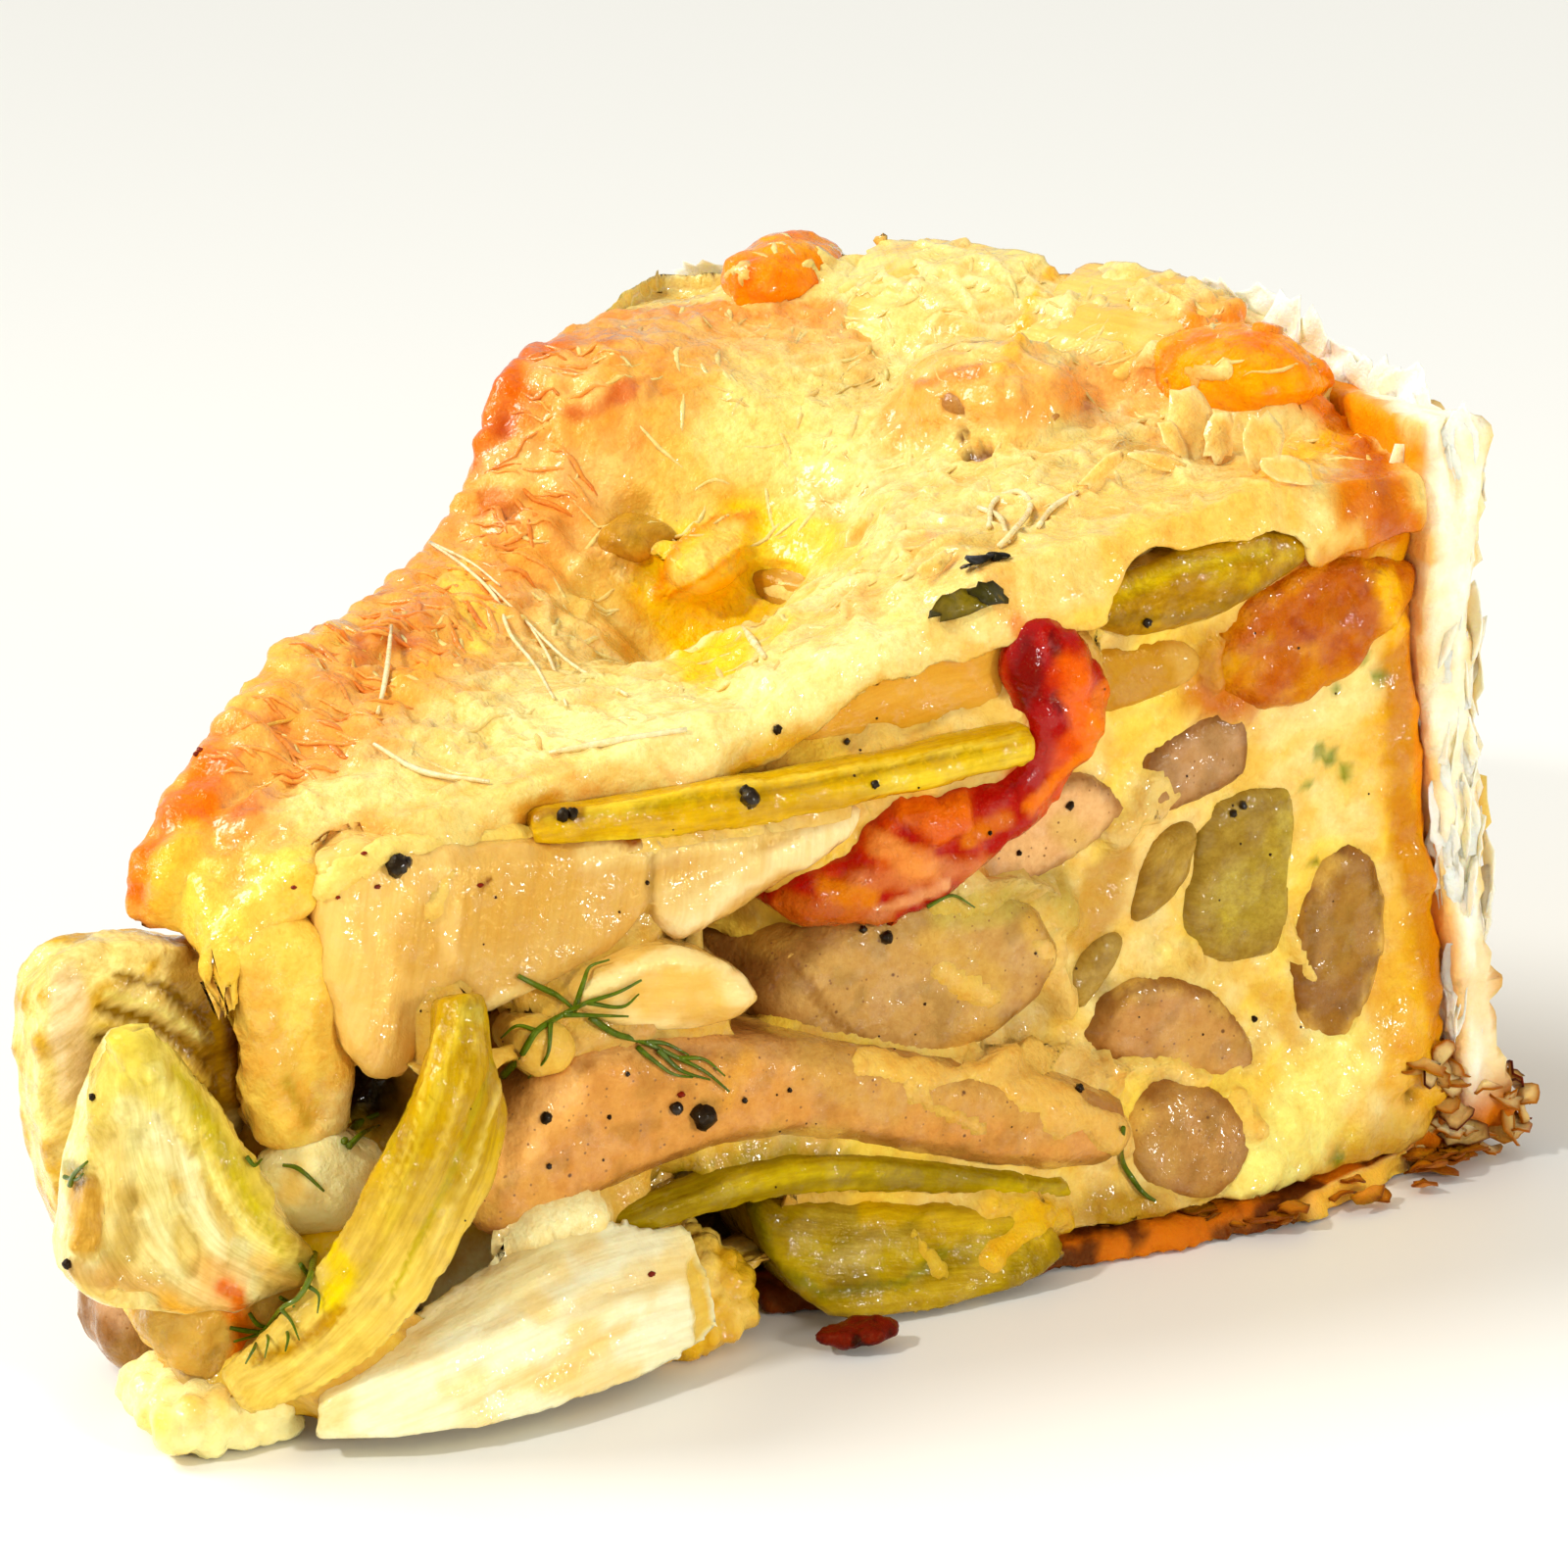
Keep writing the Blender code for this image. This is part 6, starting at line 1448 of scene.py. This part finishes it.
def makeFlakes():
    heap = Heap("pastry_flakes")
    chance = random.Random(47)
    pale, tan = paint(*flakes["pale"]), paint(*flakes["tan"])
    brown, char = paint(*flakes["brown"]), paint(*flakes["char"])
    crumbTint, crisp = paint(*flakes["crumb"]), paint(*flakes["crisp"])
    golden, baked = paint(*pastry["outside"]), paint(*pastry["baked"])

    def wallAt(turn, height):
        # the outside of the wall
        share = np.array([(turn + halfTurn) / (2 * halfTurn)])
        return flakes["wallRadius"] - 0.6 * float(crustLean(np.array([height]), share)[0])

    for k in range(flakes["cutLayers"]):
        height = 9.0 + 55.0 * (k + 0.5) / flakes["cutLayers"]
        along = wallAt(-halfTurn, height) + chance.uniform(-2.2, 0.7) + 0.9 * math.sin(height / 3.1)
        share = chance.random() * (0.75 if height < 50 else 0.35)
        lean = chance.uniform(-0.35, 0.45)
        raggedSheet(heap, onCut(along, height, chance.uniform(-1.6, 0.6)), outOfCut + alongCut * lean,
                    up + alongCut * chance.uniform(-0.12, 0.12),
                    (chance.uniform(1.3, 2.2), chance.uniform(3.0, 6.5)),
                    pale * (1 - share) + tan * share, pale, 600 + k, thick=0.26, curl=0.3)
    for k in range(flakes["outside"]):
        turn = chance.uniform(-20.0, 22.0)
        height = chance.uniform(6.0, 62.0)
        radial = (onTop(1.0, turn, 0.0) - tip)
        sideways = np.cross(up, radial)
        share = chance.random() * 0.8
        raggedSheet(heap, onTop(wallAt(turn, height) + chance.uniform(0.2, 1.0), turn, height),
                    sideways + radial * chance.uniform(-0.3, 0.3), up + radial * chance.uniform(-0.2, 0.2),
                    (chance.uniform(3.0, 8.0), chance.uniform(3.5, 8.0)),
                    golden * (1 - share) + baked * share, golden, 700 + k, thick=0.3, curl=0.25, rings=4)
    for k in range(flakes["topEdge"]):
        turn = -22.5 + 45.0 * (k + 0.5) / flakes["topEdge"]
        radial = onTop(1.0, turn, 0.0) - tip
        rise = 3.4 * math.exp(-((turn + 5.0) / 7.0) ** 2)
        radius = wallAt(turn, 64.0) + chance.uniform(-1.6, 0.0)
        raggedSheet(heap, onTop(radius, turn, chance.uniform(63.5, 66.5) + rise),
                    np.cross(up, radial), up + radial * chance.uniform(-0.4, 0.5),
                    (chance.uniform(2.2, 4.4), chance.uniform(2.0, 4.0)), pale, pale * 1.02, 800 + k,
                    thick=0.24, curl=0.9)
    for k in range(flakes["curled"]):
        height = 14.0 + 50.0 * (k + chance.random()) / flakes["curled"]
        along = wallAt(-halfTurn, height) - chance.uniform(0.2, 3.4)
        raggedSheet(heap, onCut(along, height, chance.uniform(0.0, 0.9)),
                    alongCut * chance.uniform(0.5, 1.0) + outOfCut * chance.uniform(0.2, 0.9),
                    up + alongCut * chance.uniform(-0.2, 0.2), (chance.uniform(0.9, 1.8),
                                                                chance.uniform(2.5, 5.5)),
                    pale, pale * 1.03, 1700 + k, thick=0.24, curl=0.35)
    for k, leaf in enumerate(flakes["leaves"]):
        place, (sideways, outwards, tilt), size, tint, edge, curl, rings, spokes = leaf
        raggedSheet(heap, onCut(*place), alongCut * sideways + outOfCut * outwards, up + alongCut * tilt,
                    size,
                    paint(*tint), paint(*edge), 901 + k, thick=0.3, curl=curl, rings=rings, spokes=spokes)
    for k in range(flakes["foot"]):
        along = chance.uniform(112.0, 125.0)
        height = chance.uniform(0.8, 12.5) * (1.0 - 0.55 * (along - 112) / 13)
        share = chance.random()
        tone = tan * (1 - share) + crumbTint * share
        rim = brown if chance.random() < 0.6 else char
        raggedSheet(heap, onCut(along, height, chance.uniform(-2.5, 1.8)),
                    np.array([chance.uniform(-1, 1), chance.uniform(-1, 1), chance.uniform(-0.5, 0.5)]),
                    np.array([chance.uniform(-1, 1), chance.uniform(-1, 1), chance.uniform(-0.3, 0.8)]),
                    (chance.uniform(1.2, 2.6), chance.uniform(1.0, 2.2)), tone, rim, 1000 + k,
                    thick=0.5, curl=0.9, rings=4, spokes=14)
    for k in range(flakes["baseEdge"]):
        along = 74.0 + 47.0 * (k + chance.random()) / flakes["baseEdge"]
        share = chance.random()
        if 98.0 < along < 113.0 and chance.random() < 0.75:
            continue
        reachOut = 7.2 * math.sin(math.pi * min(1.0, max(0.0, (along - 76.0) / 44.0))) ** 0.7
        raggedSheet(heap, onCut(along, chance.uniform(0.5, 2.0), reachOut - chance.uniform(-0.6, 2.6)),
                    alongCut + outOfCut * chance.uniform(-0.5, 0.5), outOfCut + up * chance.uniform(-0.2,
                                                                                                    0.5),
                    (chance.uniform(1.2, 2.8), chance.uniform(0.9, 1.9)),
                    brown * share + crisp * (1 - share), brown * 0.6, 1100 + k, thick=0.45, curl=0.7,
                    rings=4, spokes=14)
    heap.build("pastry", pastryFinish)


makeFlakes()

print("Scattering the herbs and the pepper")
herbs = {
    "green": (70, 96, 14),
    "light": (120, 140, 30),
    "fronds": [
        # line, thickness in mm at its start and end
        ([(29.9, 21.8), (30.9, 23.4), (32.4, 25.1), (34.7, 26.3), (36.8, 27.2), (39.2, 27.7), (41.2, 28.4)],
         (0.34, 0.22)),
        ([(30.8, 30.2), (32.5, 29.2), (34.3, 27.9), (36.1, 26.7)], (0.2, 0.26)),
        ([(36.0, 26.7), (36.7, 28.5), (37.3, 29.6), (38.8, 29.9)], (0.26, 0.16)),
        ([(34.7, 26.3), (37.2, 26.2), (40.1, 25.5)], (0.24, 0.16)),
        ([(36.8, 27.2), (39.5, 26.3), (41.0, 27.2)], (0.2, 0.14)),
        ([(32.4, 25.1), (31.0, 25.7), (29.8, 25.1)], (0.2, 0.14)),
        ([(33.5, 25.6), (33.1, 23.3), (31.7, 21.8)], (0.22, 0.14)),
        ([(36.8, 26.0), (39.1, 24.2), (41.4, 22.7), (44.3, 21.1), (46.7, 19.7), (48.8, 17.7)], (0.3, 0.2)),
        ([(41.0, 23.0), (42.1, 21.3), (43.8, 20.0), (45.6, 19.4)], (0.26, 0.16)),
        ([(41.4, 22.7), (43.3, 22.3), (45.2, 21.1)], (0.24, 0.16)),
        ([(42.6, 21.9), (44.5, 20.1), (47.1, 19.0)], (0.26, 0.16)),
        ([(44.3, 21.1), (46.6, 20.6), (48.4, 19.1)], (0.22, 0.14)),
        ([(13.6, 9.8), (13.4, 7.8), (12.4, 6.3), (10.9, 5.4), (8.9, 4.4), (6.7, 3.8)], (0.32, 0.2)),
        ([(12.1, 9.4), (12.8, 8.1), (13.2, 7.2)], (0.18, 0.22)),
        ([(10.5, 7.2), (11.4, 6.2), (11.9, 5.7)], (0.16, 0.2)),
        ([(6.4, 5.2), (7.8, 4.6), (8.9, 4.4)], (0.16, 0.22)),
        ([(8.9, 4.4), (8.6, 2.8), (7.6, 1.8)], (0.22, 0.14)),
        ([(10.2, 5.1), (11.3, 3.5), (11.0, 2.2)], (0.22, 0.14)),
        ([(7.9, 6.1), (8.6, 5.0), (9.4, 4.6)], (0.16, 0.2)),
        ([(13.2, 7.2), (14.0, 6.3), (13.8, 4.8)], (0.2, 0.12)),
        ([(10.9, 5.4), (11.7, 4.4), (12.1, 3.0)], (0.2, 0.12)),
        ([(8.9, 4.4), (9.7, 3.4), (9.3, 2.0)], (0.2, 0.12)),
        ([(84.8, 8.5), (85.0, 6.0), (85.8, 3.7), (87.4, 1.7), (89.9, -0.2)], (0.2, 0.26)),
        ([(16.0, 18.7), (17.1, 19.7), (19.1, 20.3)], (0.3, 0.34)),
        ([(16.3, 18.2), (17.6, 18.9), (18.9, 19.4)], (0.3, 0.2)),
        ([(11.3, 17.6), (12.6, 17.0), (14.4, 15.1)], (0.14, 0.2)),
        ([(-5.4, 18.7), (-5.0, 19.9), (-4.1, 20.8)], (0.24, 0.2)),
        ([(-5.7, 19.7), (-4.8, 19.2), (-4.3, 19.8)], (0.2, 0.14)),
        ([(66.5, 30.9), (68.7, 31.2), (70.7, 29.9)], (0.18, 0.14)),
        ([(8.0, 18.8), (8.6, 18.0), (9.1, 18.4)], (0.2, 0.16)),
    ],
    # scorched bits of leaf: place, turn in degrees, half sizes, colour
    "leaves": [
        ((69.7, 55.7), 8, (3.9, 1.5), (128, 108, 12)), ((68.0, 55.3), 30, (2.2, 1.0), (70, 66, 8)),
        ((71.9, 56.1), -20, (2.0, 1.1), (60, 58, 8)), ((71.3, 58.7), 14, (1.8, 0.8), (26, 16, 10)),
        ((72.7, 58.9), -25, (1.2, 0.6), (22, 14, 10)), ((70.1, 58.3), 40, (0.9, 0.6), (24, 14, 10)),
    ],
    "dust": 40,                       # grains of ground pepper
    # peppercorns: place and radius in mm
    "pepper": [((50.8, 41.9), 0.85), ((50.4, 42.5), 0.5), ((34.9, 42.6), 0.6), ((35.7, 42.6), 0.5),
               ((21.1, 40.5), 0.95),
               ((21.7, 40.7), 0.6), ((80.8, 12.5), 0.42), ((86.3, 52.1), 0.42), ((62.9, 28.6),
                                                                                 0.6), ((61.8, 41.6), 0.36),
               ((46.5, 15.9), 1.05), ((44.3, 16.9), 0.55), ((33.1, 18.0), 0.5), ((79.5, 37.4),
                                                                                 0.4), ((53.2, 47.3), 0.4),
               ((59.3, 45.4), 0.3), ((95.8, 35.2), 0.4), ((94.9, 34.6), 0.35), ((97.5, 16.1),
                                                                                0.3), ((33.3, 13.8), 0.25),
               ((38.5, 17.1), 0.2), ((50.3, 16.6), 0.25), ((54.3, 16.8), 0.22), ((40.1, 20.5),
                                                                                 0.22), ((41.9, 36.2), 0.2),
               ((60.8, 29.5), 0.35), ((74.9, 34.0), 0.25), ((72.2, 36.1), 0.2), ((-3.6, 25.7),
                                                                                 0.3), ((-6.1, 12.6), 0.4)],
    "red": [((44.7, 18.0), 0.4), ((27.9, 38.0), 0.3), ((42.0, 3.0), 0.35), ((19.5, 39.1), 0.3),
            ((12.8, 40.0), 0.25),
            ((16.3, 38.7), 0.25), ((5.8, 51.8), 0.3), ((5.5, 51.5), 0.3), ((18.5, 41.9),
                                                                           0.25), ((-7.7, 11.8), 0.3)],
}
herbFinish = foodFinish("fennel fronds", {
    "mottle": [(0.8, 0.5, (140, 150, 60))], "roughness": (0.5,
                                                          0.2), "coat": 0.3, "bumps": [(0.4, 0.08, "all")]})
pepperFinish = foodFinish("cracked pepper", {
    "mottle": [(0.4, 0.5, (120, 90, 60))], "roughness": (0.6,
                                                         0.3), "coat": 0.2, "bumps": [(0.3, 0.12, "all")]})


def makeHerbs():
    fronds = Heap("fennel_fronds")
    green, light = paint(*herbs["green"]), paint(*herbs["light"])
    chance = random.Random(61)
    for line, (startSize, endSize) in herbs["fronds"]:
        path = [landing(*place) for place in line]
        path = [hit + normal * 0.42 for hit, normal in path if hit is not None]
        if len(path) < 2:
            continue
        share = chance.random() * 0.5
        path = smoothPath(path, 6)
        strand(fronds, path, (startSize, endSize, endSize * 0.5), green * (1 - share) + light * share,
               sides=7, wet=0.6)
    fronds.build("fennel_green", herbFinish)

    leaves = Heap("dark_leaves")
    for number, (place, turn, size, shade) in enumerate(herbs["leaves"]):
        hit, normal = landing(*place)
        if hit is None:
            continue
        way = math.radians(turn)
        across = alongCut * math.cos(way) + np.cross(normal, alongCut) * math.sin(way)
        raggedSheet(leaves, hit + normal * 0.5, across, np.cross(normal, across), size, paint(*shade),
                    paint(*shade) * 0.5, 1300 + number, thick=0.3, curl=0.7, rings=4, spokes=16)
    leaves.build("fennel_green", herbFinish)

    pepper = Heap("cracked_pepper")
    for number, (place, radius) in enumerate(herbs["pepper"]):
        hit, normal = landing(*place)
        if hit is not None:
            crumb(pepper, hit + normal * radius * 0.35, radius, paint(30, 20, 14), 1400 + number)
    for number, (place, radius) in enumerate(herbs["red"]):
        hit, normal = landing(*place)
        if hit is not None:
            crumb(pepper, hit + normal * radius * 0.2, radius, paint(130, 34, 10), 1500 + number, squash=0.6)
    for k in range(herbs["dust"]):
        hit, normal = landing(chance.uniform(20, 110), chance.uniform(8, 50))
        if hit is not None:
            crumb(pepper, hit, chance.uniform(0.08, 0.15), paint(64, 40, 20), 1600 + k)
    pepper.build("browned", pepperFinish)


makeHerbs()

print("Setting up the light, the floor and the camera")
studio = {
    "floorColour": (0.90, 0.885, 0.81),
    "worldStrength": 0.53,
    "sunStrength": 2.2,
    "sunFrom": (-0.30, 0.55, 0.62),
    "sunSoftness": 26.0,              # degrees across
    # the soft lamps that make the wet spots glint: place, size, power, colour
    "lamps": {
        "glint": ((-0.45, 0.10, 0.42), 0.045, 1.6, (1.0, 1.0, 1.0)),
        "reflector": ((-0.08, -0.72, 0.26), 0.085, 1.6, (1.0, 0.99, 0.96)),
        "low glint": ((0.02, -0.60, 0.12), 0.045, 0.4, (1.0, 1.0, 1.0))},
    "cameraPlace": (-0.2820, -0.2687, 0.1595),
    "cameraAim": (0.0157, -0.0007, 0.0332),
    "lens": 113.0,
    "sensor": 36.0,
}


def aimed(thing, place, target):
    thing.location = place
    thing.rotation_euler = (Vector(target) - Vector(place)).to_track_quat("-Z", "Y").to_euler()


def softBox(name, place, size, power, colour):
    light = bpy.data.lights.new(name, "AREA")
    light.shape = "DISK"
    light.size = size
    light.energy = power
    light.color = colour
    holder = bpy.data.objects.new(name, light)
    scene.collection.objects.link(holder)
    aimed(holder, place, (0.0, 0.0, 0.03))
    return holder


def makeStudio():
    bpy.ops.mesh.primitive_plane_add(size=6.0, location=(0.0, 0.0, -0.0002))
    floor = bpy.context.object
    floor.name = "floor"
    white = bpy.data.materials.new("pale floor")
    white.use_nodes = True
    shader = white.node_tree.nodes["Principled BSDF"]
    shader.inputs["Base Color"].default_value = (*studio["floorColour"], 1.0)
    shader.inputs["Roughness"].default_value = 0.5
    floor.data.materials.append(white)
    sun = bpy.data.lights.new("window", "SUN")
    sun.energy = studio["sunStrength"]
    sun.angle = math.radians(studio["sunSoftness"])
    holder = bpy.data.objects.new("window", sun)
    scene.collection.objects.link(holder)
    aimed(holder, studio["sunFrom"], (0.0, 0.0, 0.0))
    for name, (place, size, power, colour) in studio["lamps"].items():
        softBox(name, place, size, power, colour)
    world = bpy.data.worlds.new("studio")
    scene.world = world
    world.use_nodes = True
    sky = world.node_tree.nodes["Background"]
    sky.inputs["Color"].default_value = (1.0, 1.0, 1.0, 1.0)
    sky.inputs["Strength"].default_value = studio["worldStrength"]
    camera = bpy.data.cameras.new("camera")
    camera.lens = studio["lens"]
    camera.sensor_width = studio["sensor"]
    holder = bpy.data.objects.new("camera", camera)
    scene.collection.objects.link(holder)
    aimed(holder, studio["cameraPlace"], studio["cameraAim"])
    scene.camera = holder
    scene.view_settings.view_transform = "Standard"


makeStudio()

print("Pieces:", len(made), "triangles:", sum(2 * len(piece.data.polygons) for piece in made))
